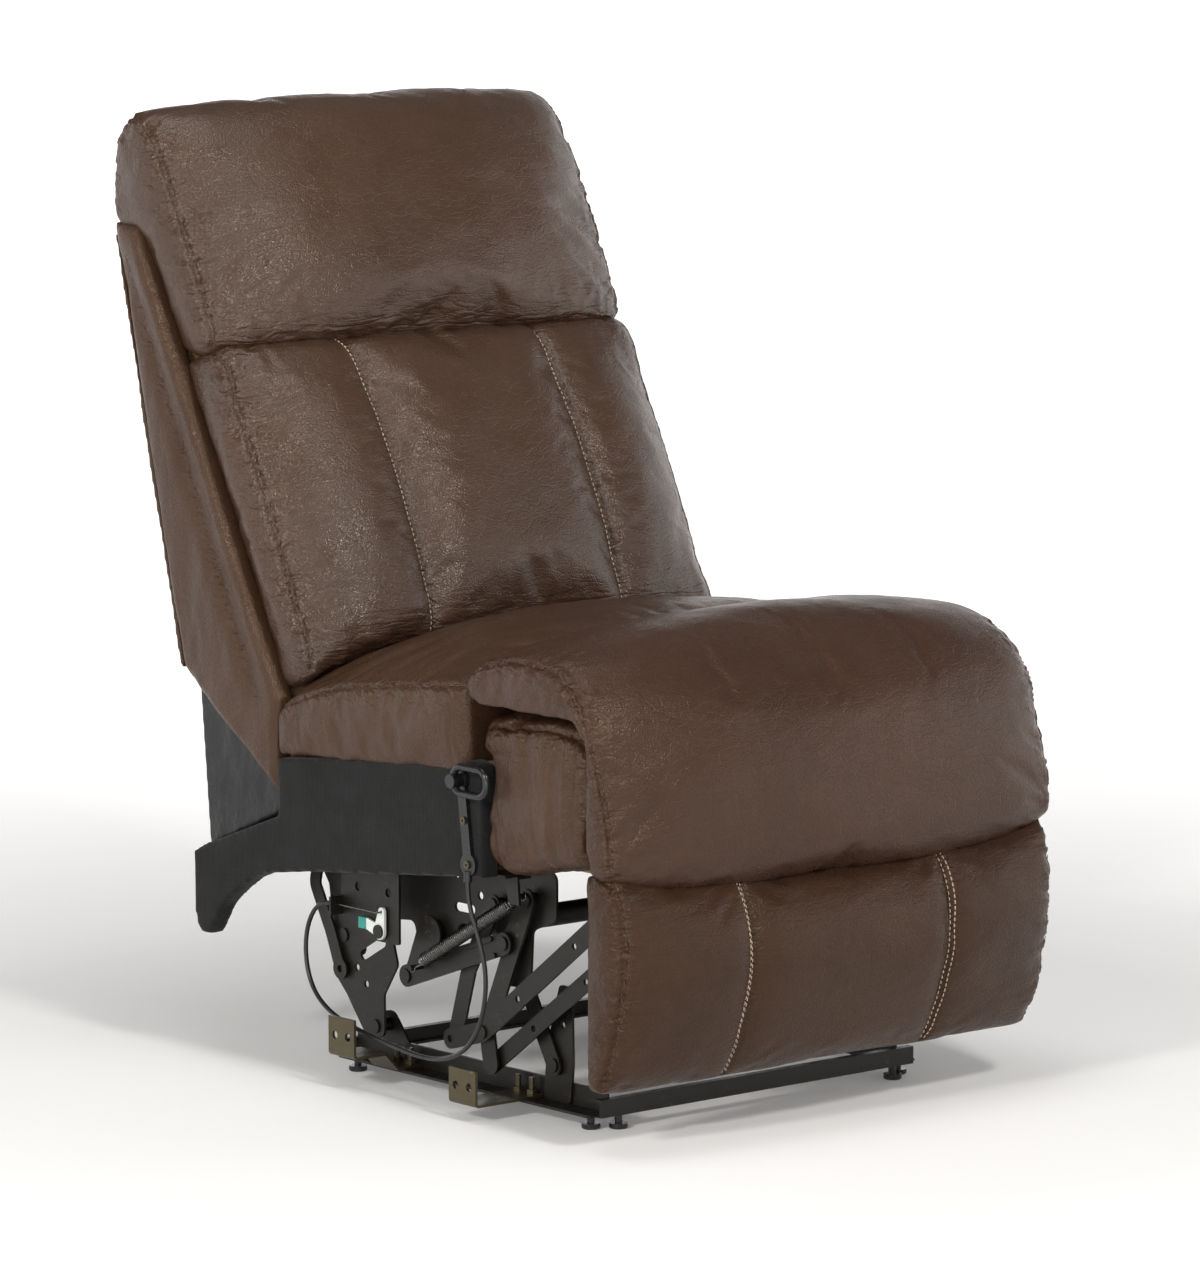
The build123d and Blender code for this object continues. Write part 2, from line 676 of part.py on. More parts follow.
gusset_outer = post_outer - face_gap
gusset_inner = gusset_outer - 2.5
skirt_line = ((315.2, 416), (299, 227))
with BuildPart() as skirt_gussets:
    for side in SIDES:
        slab(((on_back(0, -webbing_depth)[0], 308), (152, 292), (283, 238), (299, 227), (318, 427)),
             gusset_inner, gusset_outer, side)
finish(skirt_gussets.part, "skirt_gussets")
with BuildPart() as rear_skirt:
    slab((skirt_line[0], skirt_line[1], minus(skirt_line[1], (3, 0)), minus(skirt_line[0], (3, 0))),
         -gusset_inner, gusset_inner)
finish(rear_skirt.part, "rear_skirt")

# ---- footrest: board, pad, brackets and the links that carry it out ----
footrest_half = rail_layer + 8.0
footrest_front = -368.0
footrest_rear = -356.0
footrest_low = 72.0
footrest_high = 264.0
with BuildPart() as footrest_board:
    box(-footrest_half, footrest_half, footrest_front, footrest_rear, footrest_low, footrest_high)
finish(footrest_board.part, "footrest_board")

pad_back = footrest_front - soft_gap
pad_half = seat_width / 2 + footrest_overhang
pad_side = [(pad_back, 62), (pad_back, 274), (-416, 274), (-434, 211), (-424, 137), (-396, 62)]
pad_middle = [(pad_back, 62), (pad_back, 274), (-420, 274), (2 - front_reach, 205), (-444, 130), (-404, 62)]
pad_rise = (0, 0, 0.12, 0.05, 0.1, 0)
pad_channel = 140.0
with BuildPart() as footrest_pad:
    cushion(pad_half, pad_side, pad_middle, pad_rise, (0, 1), channels=(pad_channel,))
finish(footrest_pad.part, "footrest_pad")

bracket_foot = 24.0
with BuildPart() as footrest_brackets:
    for side in SIDES:
        with BuildSketch(layer(side, front_layer)) as plate:
            with Locations(lower_rest_joint):
                Circle(12)
            with Locations(upper_rest_joint):
                Circle(9)
            make_hull()
            outline(((footrest_rear, 110), (footrest_rear, 256), (-344, 256), (-330, 238), (-337, 196),
                     (-350, 110)))
        extrude(plate.sketch, amount=side * sheet)
        box(front_layer + sheet, front_layer + bracket_foot, footrest_rear, footrest_rear + sheet, 110,
            256, side)
        stud(side, lower_rest_joint, front_layer + sheet, lower_layer, lower_layer + sheet)
        stub(side, upper_rest_joint, front_layer, upper_layer + sheet + face_gap, front_layer + sheet)
finish(footrest_brackets.part, "footrest_brackets")

link_radius = 12.0
with BuildPart() as front_links:
    for side in SIDES:
        for ends in ((front_link_pivot, front_lower_joint), (front_lower_joint, front_upper_joint),
                     (front_link_pivot, ear_pin)):
            with BuildSketch(layer(side, front_layer)) as arm:
                bar(ends, link_radius if ends[1] != ear_pin else 10)
            extrude(arm.sketch, amount=side * sheet)
        cylinder(side, front_link_pivot, front_layer, front_layer + sheet, pin_radius + running,
                 Mode.SUBTRACT)
        stud(side, front_lower_joint, front_layer + sheet, lower_layer, lower_layer + sheet)
        stud(side, ear_pin, front_layer + sheet, lower_layer, lower_layer + sheet)
        stud(side, front_upper_joint, front_layer, upper_layer + sheet, upper_layer)
finish(front_links.part, "front_footrest_links")

rear_link_bow = (8.0, 4.0)
with BuildPart() as rear_links:
    for side in SIDES:
        bow = add(between(rear_link_pivot, rear_lower_joint, 0.5), rear_link_bow)
        for ends in ((rear_link_pivot, bow), (bow, rear_lower_joint)):
            with BuildSketch(layer(side, front_layer)) as arm:
                bar(ends, link_half)
            extrude(arm.sketch, amount=side * sheet)
        cylinder(side, rear_link_pivot, front_layer, front_layer + sheet, pin_radius + running, Mode.SUBTRACT)
        stub(side, rear_lower_joint, front_layer + sheet, lower_layer - face_gap, front_layer)
finish(rear_links.part, "rear_footrest_links")

with BuildPart() as lower_links:
    for side in SIDES:
        for ends in ((rear_lower_joint, front_lower_joint), (front_lower_joint, lower_rest_joint)):
            with BuildSketch(layer(side, lower_layer)) as arm:
                bar(ends, link_half)
            extrude(arm.sketch, amount=side * sheet)
        for at in (rear_lower_joint, front_lower_joint, lower_rest_joint):
            cylinder(side, at, lower_layer, lower_layer + sheet, pin_radius + running, Mode.SUBTRACT)
        for share in (0.28, 0.72):
            at = between(front_lower_joint, lower_rest_joint, share)
            cylinder(side, at, lower_layer, lower_layer + sheet, 3.5, Mode.SUBTRACT)
finish(lower_links.part, "lower_footrest_links")

with BuildPart() as upper_links:
    for side in SIDES:
        with BuildSketch(layer(side, upper_layer)) as link:
            bar((front_upper_joint, upper_rest_joint), 9.5)
            holes((front_upper_joint, upper_rest_joint), pin_radius + running)
            holes((between(front_upper_joint, upper_rest_joint, 0.3),
                   between(front_upper_joint, upper_rest_joint, 0.7)), 3.5)
        extrude(link.sketch, amount=side * sheet)
finish(upper_links.part, "upper_footrest_links")

# ---- drive tube, drive links and tension springs ----
tube_radius = 12.5
tube_wall = 2.0
tube_end = front_layer + sheet
with BuildPart() as drive_tube:
    with BuildSketch(layer(1, -tube_end)) as ring:
        with Locations(tube_centre):
            Circle(tube_radius)
            Circle(tube_radius - tube_wall, mode=Mode.SUBTRACT)
    extrude(ring.sketch, amount=2 * tube_end)
    for side in SIDES:
        with BuildSketch(layer(side, front_layer)) as arm:
            with Locations(tube_centre):
                Circle(19)
            with Locations(arm_pin):
                Circle(10)
            make_hull()
        extrude(arm.sketch, amount=side * sheet)
        stud(side, arm_pin, front_layer + sheet, lower_layer, lower_layer + sheet)
finish(drive_tube.part, "drive_tube")

drive_half = 12.0
rib_width = 3.0
hook_reach = spring_centre + 4.0
hook_radius = 3.0
drive_way = (drive_span[0] / hypot(*drive_span), drive_span[1] / hypot(*drive_span))
drive_side = (-drive_way[1], drive_way[0])
with BuildPart() as drive_links:
    for side in SIDES:
        with BuildSketch(layer(side, lower_layer)) as link:
            bar((arm_pin, ear_pin), drive_half)
            holes((arm_pin,), pin_radius + running)
            holes((ear_pin,), pin_radius + 2 * running)
        extrude(link.sketch, amount=side * sheet)
        for edge in (-1, 1):
            start = add(between(arm_pin, ear_pin, 0.1), (edge * 9 * drive_side[0], edge * 9 * drive_side[1]))
            end = add(between(arm_pin, ear_pin, 0.9), (edge * 9 * drive_side[0], edge * 9 * drive_side[1]))
            with BuildSketch(layer(side, lower_layer + sheet)) as rib:
                bar((start, end), rib_width)
            extrude(rib.sketch, amount=side * sheet)
        cylinder(side, spring_hook, lower_layer + sheet, hook_reach, hook_radius)
finish(drive_links.part, "drive_links")

anchor_width = 16.0
anchor_layer = spring_centre + 9.0
with BuildPart() as spring_anchors:
    for side in SIDES:
        box(anchor_layer - 16, anchor_layer, spring_anchor[0] - anchor_width / 2 + 3,
            spring_anchor[0] + anchor_width / 2 + 12,
            seat_line - sheet, seat_line, side)
        slab(((spring_anchor[0] - 8, spring_anchor[1] - 8), (spring_anchor[0] + 8, spring_anchor[1] - 8),
              (spring_anchor[0] + 20, seat_line), (spring_anchor[0] - 5, seat_line)),
             anchor_layer, anchor_layer + sheet, side)
        cylinder(side, spring_anchor, anchor_layer, spring_centre - 4, hook_radius)
finish(spring_anchors.part, "spring_anchors")

coil_wire = 2.4
coil_radius = 5.8
coil_turns = 18
coil_margin = 24.0                         # from a pin's centre to the first turn
hook_bend = hook_radius + coil_wire / 2 + 0.3
hook_wrap = 240
hook_step = 120


def biarc(start, start_way, end, end_way):
    """Two arcs, tangent to each other, from one point and direction to the next."""
    chord = end - start
    lean = chord.dot(start_way + end_way)
    spread = 2 * (1 - start_way.dot(end_way))
    reach = (hypot(lean, (spread * chord.dot(chord)) ** 0.5) - lean) / spread
    middle = (start + end + (start_way - end_way) * reach) * 0.5
    TangentArc(start, middle, tangent=start_way)
    TangentArc(middle, end, tangent=(end - middle) * 2 - end_way * reach * 2)


def coil_route(side):
    """Places and directions along one spring's wire, half a turn apart, from hook to hook."""
    low = Vector(side * spring_centre, *spring_hook)
    high = Vector(side * spring_centre, *spring_anchor)
    up = (high - low).normalized()
    out = Vector(side, 0, 0).cross(up)
    across = up.cross(out)
    stops = []
    for angle in range(hook_wrap, -1, -hook_step):
        turn = radians(angle)
        stops.append((low + (out * cos(turn) - up * sin(turn)) * hook_bend, out * sin(turn) + up * cos(turn)))
    pitch = ((high - low).length - 2 * coil_margin) / coil_turns
    rise = pitch / (2 * pi)
    for half in range(2 * coil_turns + 1):
        turn = half * pi
        place = low + up * (coil_margin + rise * turn) + (out * cos(turn) + across * sin(turn)) * coil_radius
        stops.append((place, ((across * cos(turn) - out * sin(turn)) * coil_radius + up * rise).normalized()))
    for angle in range(0, hook_wrap + 1, hook_step):
        turn = radians(angle)
        stops.append((high + (out * cos(turn) + up * sin(turn)) * hook_bend,
                      up * cos(turn) - out * sin(turn)))
    return stops


def least_gap(stops):
    """Smallest clearance of a coiled wire to itself, measured between its stops."""
    gaps = [(p[0] - q[0]).length for number, p in enumerate(stops) for q in stops[number + 2:]]
    return min(gaps) - coil_wire


print("spring's least gap to itself, mm:", round(least_gap(coil_route(1)), 2))
with BuildPart() as tension_springs:
    for side in SIDES:
        stops = coil_route(side)
        with BuildLine() as wire:
            Line(stops[0][0] - stops[0][1] * coil_wire, stops[0][0])
            for (start, start_way), (end, end_way) in zip(stops, stops[1:]):
                biarc(start, start_way, end, end_way)
            Line(stops[-1][0], stops[-1][0] + stops[-1][1] * coil_wire)
        with BuildSketch(Plane(origin=wire.line @ 0, z_dir=wire.line % 0)) as section:
            Circle(coil_wire / 2)
        sweep(section.sketch, path=wire.line)
finish(tension_springs.part, "tension_springs")

# ---- pull ring, cable and trip lever, on the left side ----
pull = -1
ring_pivot = (-172.0, 364.0)
ring_centre = (-198.0, 366.0)
ring_length = 62.0
ring_depth = 36.0
ring_bar = 8.0
ring_corner = 13.0
housing_face = rail_layer + side_rail_width
housing_thick = 5.0
foot_place = (-184.0, 276.0)
foot_radius = 12.0
strip_half = 6.5
ring_line = housing_face + housing_thick + 8.0
cable_start = (-(housing_face + 4.5), -184.0, 258.0)
ring_hub = 8.0

with BuildPart() as ring_housing:
    with BuildSketch(layer(pull, housing_face)) as plate:
        with BuildLine():
            Polyline(ring_pivot, (-178, 320), foot_place)
        trace(line_width=2 * strip_half)
        with Locations(ring_pivot):
            Circle(10)
        with Locations(foot_place):
            Circle(foot_radius)
    extrude(plate.sketch, amount=pull * housing_thick)
    post((cable_start[0], cable_start[1]), cable_start[2], foot_place[1] - 7, 4.5)
    stud(pull, ring_pivot, housing_face + housing_thick, ring_line - 4, ring_line + 4)
finish(ring_housing.part, "ring_housing")

with BuildPart() as pull_ring:
    reach = (ring_length - ring_bar) / 2
    rise = (ring_depth - ring_bar) / 2
    corners = [add(ring_centre, place) for place in ((-reach, -rise), (reach, -rise), (reach, rise),
                                                     (-reach, rise))]
    with BuildLine(layer(pull, ring_line)) as loop:
        FilletPolyline(*corners, radius=ring_corner, close=True)
    with BuildSketch(Plane(origin=loop.line @ 0, z_dir=loop.line % 0)):
        Circle(ring_bar / 2)
    sweep()
    cylinder(pull, ring_pivot, ring_line - 4, ring_line + 4, ring_hub)
    cylinder(pull, ring_pivot, ring_line - 4, ring_line + 4, pin_radius + running, Mode.SUBTRACT)
finish(pull_ring.part, "pull_ring")

with BuildPart() as housing_screws:
    for at in (foot_place, (-178, 322)):
        cylinder(pull, at, housing_face + housing_thick, housing_face + housing_thick + 2.2, 4.2)
        cylinder(pull, at, housing_face + housing_thick, housing_face + housing_thick + 2.2, 1.4,
                 Mode.SUBTRACT)
finish(housing_screws.part, "housing_screws")

latch_layer = lower_layer + 21.0
latch_front = -10.0
latch_rear = 89.0
lever_pivot = (18.0, 172.0)
lever_reach = 22.0
lever_swing = 21.0
lever_layer = latch_layer + sheet + 2.0
rod_radius = 1.0
rod_line = latch_layer + 13.0
rod_top = (lever_pivot[0] - lever_reach * sin(radians(lever_swing / 2)),
           lever_pivot[1] + lever_reach * cos(radians(lever_swing / 2)))
with BuildPart() as latch_bracket:
    slab(((latch_front, 160), (latch_front, seat_line), (latch_rear, seat_line), (latch_rear, 182),
          (70, 176), (40, 160)),
         latch_layer, latch_layer + sheet, pull, 3)
    box(latch_layer, latch_layer + 17, latch_front + 6, latch_rear - 6, seat_line - sheet, seat_line, pull)
    box(latch_layer, rod_line + 7, latch_rear - sheet, latch_rear, rod_top[1] - 12, rod_top[1] + 8, pull)
    stud(pull, lever_pivot, latch_layer + sheet, lever_layer, lever_layer + sheet)
    with BuildSketch(Plane.XZ.offset(-latch_rear + 2 * sheet)) as eye:
        with Locations((pull * rod_line, rod_top[1])):
            Circle(rod_radius + 0.3)
    extrude(eye.sketch, amount=-4 * sheet, mode=Mode.SUBTRACT)
    for at in ((8, 215), (60, 215)):
        cylinder(pull, at, latch_layer, latch_layer + sheet, 5, Mode.SUBTRACT)
finish(latch_bracket.part, "latch_bracket")

with BuildPart() as trip_lever:
    with BuildSketch(layer(pull, lever_layer)) as body:
        with Locations(lever_pivot):
            Circle(9)
        with Locations(rod_top):
            Circle(5)
        make_hull()
    extrude(body.sketch, amount=pull * sheet)
    slab((add(lever_pivot, (0, -7)), add(lever_pivot, (4, 8)), (40, 184), (40, 172)), lever_layer,
         lever_layer + sheet, pull)
    cylinder(pull, lever_pivot, lever_layer, lever_layer + sheet, pin_radius + running, Mode.SUBTRACT)
    with BuildSketch(layer(pull, lever_layer)) as slot:
        bar((add(rod_top, turned((0, -0.8), lever_swing / 2)),
             add(rod_top, turned((0, 0.8), lever_swing / 2))),
            rod_radius + 0.25)
    extrude(slot.sketch, amount=pull * sheet, mode=Mode.SUBTRACT)
finish(trip_lever.part, "trip_lever")

with BuildPart() as trip_tip:
    box(lever_layer - 1, lever_layer + sheet + 1, 40, 52, 172, 184, pull)
finish(trip_tip.part, "trip_tip")

with BuildPart() as trip_rod:
    cylinder(pull, rod_top, lever_layer, rod_line + rod_radius, rod_radius)
    with BuildSketch(Plane.XZ.offset(-rod_top[0])) as wire:
        with Locations((pull * rod_line, rod_top[1])):
            Circle(rod_radius)
    extrude(wire.sketch, amount=-(latch_rear - rod_top[0] + 4))
finish(trip_rod.part, "trip_rod")

cable_radius = 2.5
cable_end = (pull * rod_line, latch_rear + 0.3, rod_top[1])
cable_route = (cable_start, (-304.5, -184, 236), (-302, -197, 204), (-300, -208, 168), (-300, -206, 130),
               (-298, -190, 96), (-294, -162, 72), (-289, -122, 57), (-287, -80, 54), (-286, -39,
                                                                                       58), (-283, 20, 64),
               (-280, 76, 74), (-276, 116, 94), (-273, 134, 128), (-270, 134, 166), (-268, 114,
                                                                                     cable_end[2]), cable_end)


def bends(route):
    """Bend radii for a cable's straight runs: as wide as its shorter neighbours allow."""
    radii = []
    for before, here, after in zip(route, route[1:], route[2:]):
        first = Vector(*here) - Vector(*before)
        second = Vector(*after) - Vector(*here)
        half_turn = radians(first.get_angle(second)) / 2
        radii.append(0.45 * min(first.length, second.length) / tan(half_turn))
    return radii


print("cable bends, mm:", [round(radius) for radius in bends(cable_route)])
with BuildPart() as release_cable:
    with BuildLine() as route:
        FilletPolyline(*cable_route, radius=bends(cable_route))
    with BuildSketch(Plane(origin=route.line @ 0, z_dir=route.line % 0)):
        Circle(cable_radius)
    sweep()
    with BuildSketch(Plane.XZ.offset(-cable_end[1])) as bore:
        with Locations((cable_end[0], cable_end[2])):
            Circle(rod_radius + 0.3)
    extrude(bore.sketch, amount=-14, mode=Mode.SUBTRACT)
finish(release_cable.part, "release_cable")
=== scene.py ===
"""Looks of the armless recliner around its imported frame. Metres, +Z up, the front of the seat towards -Y."""
from math import cos, pi, radians, sin, sqrt

import bmesh
import bpy
import numpy as np
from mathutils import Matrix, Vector
from mathutils.bvhtree import BVHTree


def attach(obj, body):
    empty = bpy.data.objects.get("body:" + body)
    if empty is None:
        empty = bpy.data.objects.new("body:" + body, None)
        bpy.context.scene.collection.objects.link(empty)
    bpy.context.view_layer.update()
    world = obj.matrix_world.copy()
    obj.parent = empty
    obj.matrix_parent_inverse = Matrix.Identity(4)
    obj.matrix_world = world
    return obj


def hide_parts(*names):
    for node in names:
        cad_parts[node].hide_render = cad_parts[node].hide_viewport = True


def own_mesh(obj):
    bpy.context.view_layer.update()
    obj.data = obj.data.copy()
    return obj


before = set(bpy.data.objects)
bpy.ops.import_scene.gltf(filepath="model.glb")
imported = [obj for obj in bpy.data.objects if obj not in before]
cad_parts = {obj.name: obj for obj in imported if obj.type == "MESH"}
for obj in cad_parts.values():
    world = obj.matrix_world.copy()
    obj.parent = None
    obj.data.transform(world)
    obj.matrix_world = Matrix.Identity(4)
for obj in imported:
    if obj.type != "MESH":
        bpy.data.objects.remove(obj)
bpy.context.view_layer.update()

scene = bpy.context.scene
SIDES = ((-1, "left"), (1, "right"))

scene.view_settings.view_transform = "Standard"

# ---- camera, fitted to the photo's outline ----
camera_data = bpy.data.cameras.new("camera")
camera_data.lens = 190.6
camera_data.sensor_width = 36
camera_data.clip_end = 60
camera = bpy.data.objects.new("camera", camera_data)
camera.location = (-4.6425, -5.5025, 1.4722)
camera.rotation_euler = (radians(82.11), 0, radians(-40.35))
scene.collection.objects.link(camera)
scene.camera = camera

# ---- release cable: its line in millimetres, from the ring's strap to the bracket ----
CABLE = [(-304.5, -184, 258), (-304.5, -184, 236), (-302, -197, 204), (-300, -208, 168), (-300, -206, 130),
         (-298, -190, 96), (-294, -162, 72), (-289, -122, 57), (-287, -80, 54), (-286, -39, 58), (-283, 20, 64),
         (-280, 76, 74), (-276, 116, 94), (-273, 134, 128), (-270, 134, 166), (-268, 114, 193.6),
         (-268, 89.3, 193.6)]


def link(name, data):
    """A new object in the scene."""
    made = bpy.data.objects.new(name, data)
    scene.collection.objects.link(made)
    return made


def meshed(name, points, faces):
    """A new object with a mesh of these points and faces."""
    mesh = bpy.data.meshes.new(name)
    mesh.from_pydata([tuple(p) for p in points], [], faces)
    return link(name, mesh)


def spline(name, points, radius):
    """A smooth round cord on a NURBS line through the air, its points in millimetres."""
    curve = bpy.data.curves.new(name, "CURVE")
    curve.dimensions = "3D"
    line = curve.splines.new("NURBS")
    line.points.add(len(points) - 1)
    for point, place in zip(line.points, points):
        point.co = (*[value / 1000 for value in place], 1)
        point.radius = radius
    line.order_u = 3
    line.use_endpoint_u = True
    line.resolution_u = 10
    curve.bevel_depth = 1.0
    curve.bevel_resolution = 4
    curve.use_fill_caps = True
    return link(name, curve)


cable = spline("cable_cord", CABLE, 0.0025)


# ---- materials ----
class Paint:
    """A node material in the making: its tree, its shader, and a way to add nodes."""

    def __init__(self, name, colour, roughness, metallic=0.0, **sockets):
        self.material = bpy.data.materials.new(name)
        self.material.use_nodes = True
        self.tree = self.material.node_tree
        self.shader = self.tree.nodes["Principled BSDF"]
        self.shader.inputs["Base Color"].default_value = (*colour, 1)
        self.shader.inputs["Roughness"].default_value = roughness
        self.shader.inputs["Metallic"].default_value = metallic
        for socket, value in sockets.items():
            self.shader.inputs[socket.replace("_", " ")].default_value = value
        self.material.diffuse_color = (*colour, 1)
        self.height = None

    def node(self, kind, inputs=(), **settings):
        """A shader node with its inputs linked or set."""
        made = self.tree.nodes.new("ShaderNode" + kind)
        for key, value in settings.items():
            setattr(made, key, value)
        for key, value in dict(inputs).items():
            if isinstance(value, bpy.types.NodeSocket):
                self.tree.links.new(value, made.inputs[key])
            else:
                made.inputs[key].default_value = value
        return made

    def place(self, scale=(1, 1, 1)):
        """Places in the object, stretched."""
        place = self.node("TexCoord").outputs["Object"]
        return self.node("Mapping", {"Vector": place, "Scale": scale}).outputs[0]

    def noise(self, scale, detail=4.0, rough=0.55, where=None, distortion=0.0):
        """Cloudy values from 0 to 1."""
        inputs = {"Scale": scale, "Detail": detail, "Roughness": rough, "Distortion": distortion}
        inputs["Vector"] = where or self.place()
        return self.node("TexNoise", inputs).outputs["Fac"]

    def span(self, value, low, high, to_low=0.0, to_high=1.0):
        """A value's stretch from low to high, spread over another."""
        inputs = {"Value": value, "From Min": low, "From Max": high, "To Min": to_low, "To Max": to_high}
        return self.node("MapRange", inputs).outputs[0]

    def maths(self, operation, first, second=0.0):
        """One sum on one or two values."""
        return self.node("Math", {0: first, 1: second}, operation=operation).outputs[0]

    def mix(self, factor, first, second):
        """A colour between two, by a factor."""
        made = self.node("Mix", {"Factor": factor}, data_type="RGBA")
        for socket, colour in ((made.inputs[6], first), (made.inputs[7], second)):
            if isinstance(colour, bpy.types.NodeSocket):
                self.tree.links.new(colour, socket)
            else:
                socket.default_value = (*colour, 1)
        return made.outputs[2]

    def bump(self, height, distance, strength):
        """Relief added over the relief so far."""
        inputs = {"Height": height, "Distance": distance, "Strength": strength}
        if self.height is not None:
            inputs["Normal"] = self.height
        self.height = self.node("Bump", inputs).outputs[0]
        self.tree.links.new(self.height, self.shader.inputs["Normal"])

    def feed(self, socket, value):
        """A value or colour into the shader."""
        self.tree.links.new(value, self.shader.inputs[socket])


def leather(name, dark, light, rough=(0.21, 0.34), stretch=(1, 1, 1), specular=0.5, tint=(1, 1, 1)):
    """Glossy pebbled leather: grain cells, fine creases, worn and darker patches, and puckers beside seams."""
    paint = Paint(name, light, 0.42, Specular_IOR_Level=specular, Specular_Tint=(*tint, 1))
    where = paint.place(stretch)
    patches = paint.span(paint.noise(7, 4, 0.5, where), 0.2, 0.8)
    cells = paint.node("TexVoronoi", {"Vector": where, "Scale": 330.0, "Randomness": 1.0},
                       feature="DISTANCE_TO_EDGE").outputs["Distance"]
    pebble = paint.span(cells, 0.0, 0.35)
    creases = paint.node("TexVoronoi", {"Vector": paint.place((0.6, 1.2, 1.2)), "Scale": 95.0},
                         feature="DISTANCE_TO_EDGE").outputs["Distance"]
    crease = paint.span(creases, 0.0, 0.09)
    fine = paint.noise(260, 4, 0.6, where, 0.6)
    tone = paint.mix(patches, dark, light)
    worn = paint.mix(paint.maths("MULTIPLY", paint.span(paint.noise(34, 6, 0.65, where), 0.48, 0.72), 0.16), tone,
                     [min(1, c * 1.5) for c in light])
    low = paint.mix(paint.maths("MULTIPLY", paint.span(pebble, 0.0, 1.0, 1.0, 0.0), 0.35), worn,
                    [c * 0.55 for c in dark])
    paint.feed("Base Color", low)
    gloss = paint.maths("ADD", paint.span(paint.noise(18, 6, 0.6, where), 0.3, 0.7, rough[0], rough[1]),
                        paint.span(pebble, 0.0, 1.0, 0.08, 0.0))
    paint.feed("Roughness", gloss)
    paint.bump(paint.noise(26, 5, 0.6, paint.place((0.7, 1.6, 1.4)), 0.8), 0.0018, 0.35)
    paint.bump(paint.noise(110, 4, 0.6, paint.place((0.45, 1.3, 1.6)), 1.2), 0.0006, 0.35)
    near_seam = paint.node("Attribute", attribute_name="pucker").outputs["Fac"]
    folds = paint.noise(44, 2, 0.5, paint.place((0.34, 1.2, 1.9)), 0.4)
    sharp = paint.maths("ABSOLUTE", paint.maths("SUBTRACT", folds, 0.5))
    paint.bump(paint.maths("MULTIPLY", paint.span(sharp, 0.0, 0.16), near_seam), 0.0022, 0.7)
    paint.bump(crease, 0.0005, 0.35)
    paint.bump(fine, 0.0004, 0.4)
    paint.bump(pebble, 0.00032, 0.6)
    return paint.material


def cloth(name, colour, scale=900.0, rough=0.92, sheen=0.25, depth=0.0004):
    """Woven cloth: crossing threads, with slight fading."""
    paint = Paint(name, colour, rough, Sheen_Weight=sheen, Sheen_Roughness=0.5, Specular_IOR_Level=0.25)
    over, under = [
        paint.node("TexWave", {"Vector": paint.place(), "Scale": scale / 6.28, "Distortion": 0.6, "Detail": 1.0},
                   wave_type="BANDS", bands_direction=way).outputs["Fac"] for way in "YZ"]
    weave = paint.maths("MAXIMUM", over, under)
    fade = paint.span(paint.noise(9, 5), 0.3, 0.7)
    tone = paint.mix(fade, [c * 0.7 for c in colour], [min(1, c * 1.5) for c in colour])
    paint.feed("Base Color", paint.mix(paint.span(weave, 0.3, 1.0), [c * 0.5 for c in colour], tone))
    paint.feed("Roughness", paint.span(paint.noise(30), 0.3, 0.7, rough - 0.1, min(1.0, rough + 0.05)))
    paint.bump(paint.noise(60, 5), 0.0012, 0.4)
    paint.bump(weave, depth, 0.6)
    return paint.material


def metal(name, colour, rough, metallic, wear, scratch=0.5):
    """Painted or plated steel: uneven gloss, dust, fine scratches and bright worn spots."""
    paint = Paint(name, colour, rough, metallic, Specular_IOR_Level=0.5)
    dust = paint.span(paint.noise(45, 6, 0.65), 0.42, 0.75)
    streak = paint.noise(60, 5, 0.7, paint.place((1, 1, 9)))
    chips = paint.maths("MULTIPLY", paint.span(paint.noise(28, 3), 0.55, 0.75),
                        paint.span(paint.noise(210, 4), 0.6, 0.68))
    tone = paint.mix(paint.maths("MULTIPLY", dust, 0.5), colour, [min(1, c * 1.35 + 0.002) for c in colour])
    paint.feed("Base Color", paint.mix(paint.maths("MULTIPLY", chips, 0.5), tone, wear))
    paint.feed("Roughness", paint.span(streak, 0.25, 0.75, rough - 0.1, rough + 0.16))
    paint.bump(paint.noise(420, 3), 0.00012, 0.5)
    paint.bump(streak, 0.00015, scratch)
    return paint.material


def plastic(name, colour, rough):
    """Moulded plastic: a fine spark texture, faint flow marks and scuffs."""
    paint = Paint(name, colour, rough, Specular_IOR_Level=0.5)
    marks = paint.span(paint.noise(22, 5, 0.6), 0.35, 0.7)
    tone = paint.mix(paint.maths("MULTIPLY", marks, 0.5), colour, [min(1, c * 1.25 + 0.001) for c in colour])
    scuff = paint.span(paint.noise(130, 6, 0.7), 0.56, 0.7)
    paint.feed("Base Color", paint.mix(paint.maths("MULTIPLY", scuff, 0.25), tone,
                                       [min(1, c * 1.6 + 0.01) for c in colour]))
    paint.feed("Roughness", paint.span(paint.noise(40, 5), 0.3, 0.7, max(0.05, rough - 0.06), rough + 0.12))
    paint.bump(paint.noise(900, 2), 0.00008, 0.4)
    return paint.material


def wood(name, dark, light):
    """Plywood: long grain and thin plies."""
    paint = Paint(name, light, 0.7, Specular_IOR_Level=0.3)
    grain = paint.noise(30, 6, 0.6, paint.place((0.35, 5, 5)), 1.2)
    ply = paint.node("TexWave", {"Vector": paint.place(), "Scale": 90.0, "Distortion": 1.5, "Detail": 2.0},
                     bands_direction="Y").outputs["Fac"]
    tone = paint.mix(paint.span(grain, 0.3, 0.7), dark, light)
    paint.feed("Base Color", paint.mix(paint.maths("MULTIPLY", ply, 0.25), tone, dark))
    paint.feed("Roughness", paint.span(grain, 0.2, 0.8, 0.6, 0.82))
    paint.bump(grain, 0.0003, 0.5)
    return paint.material


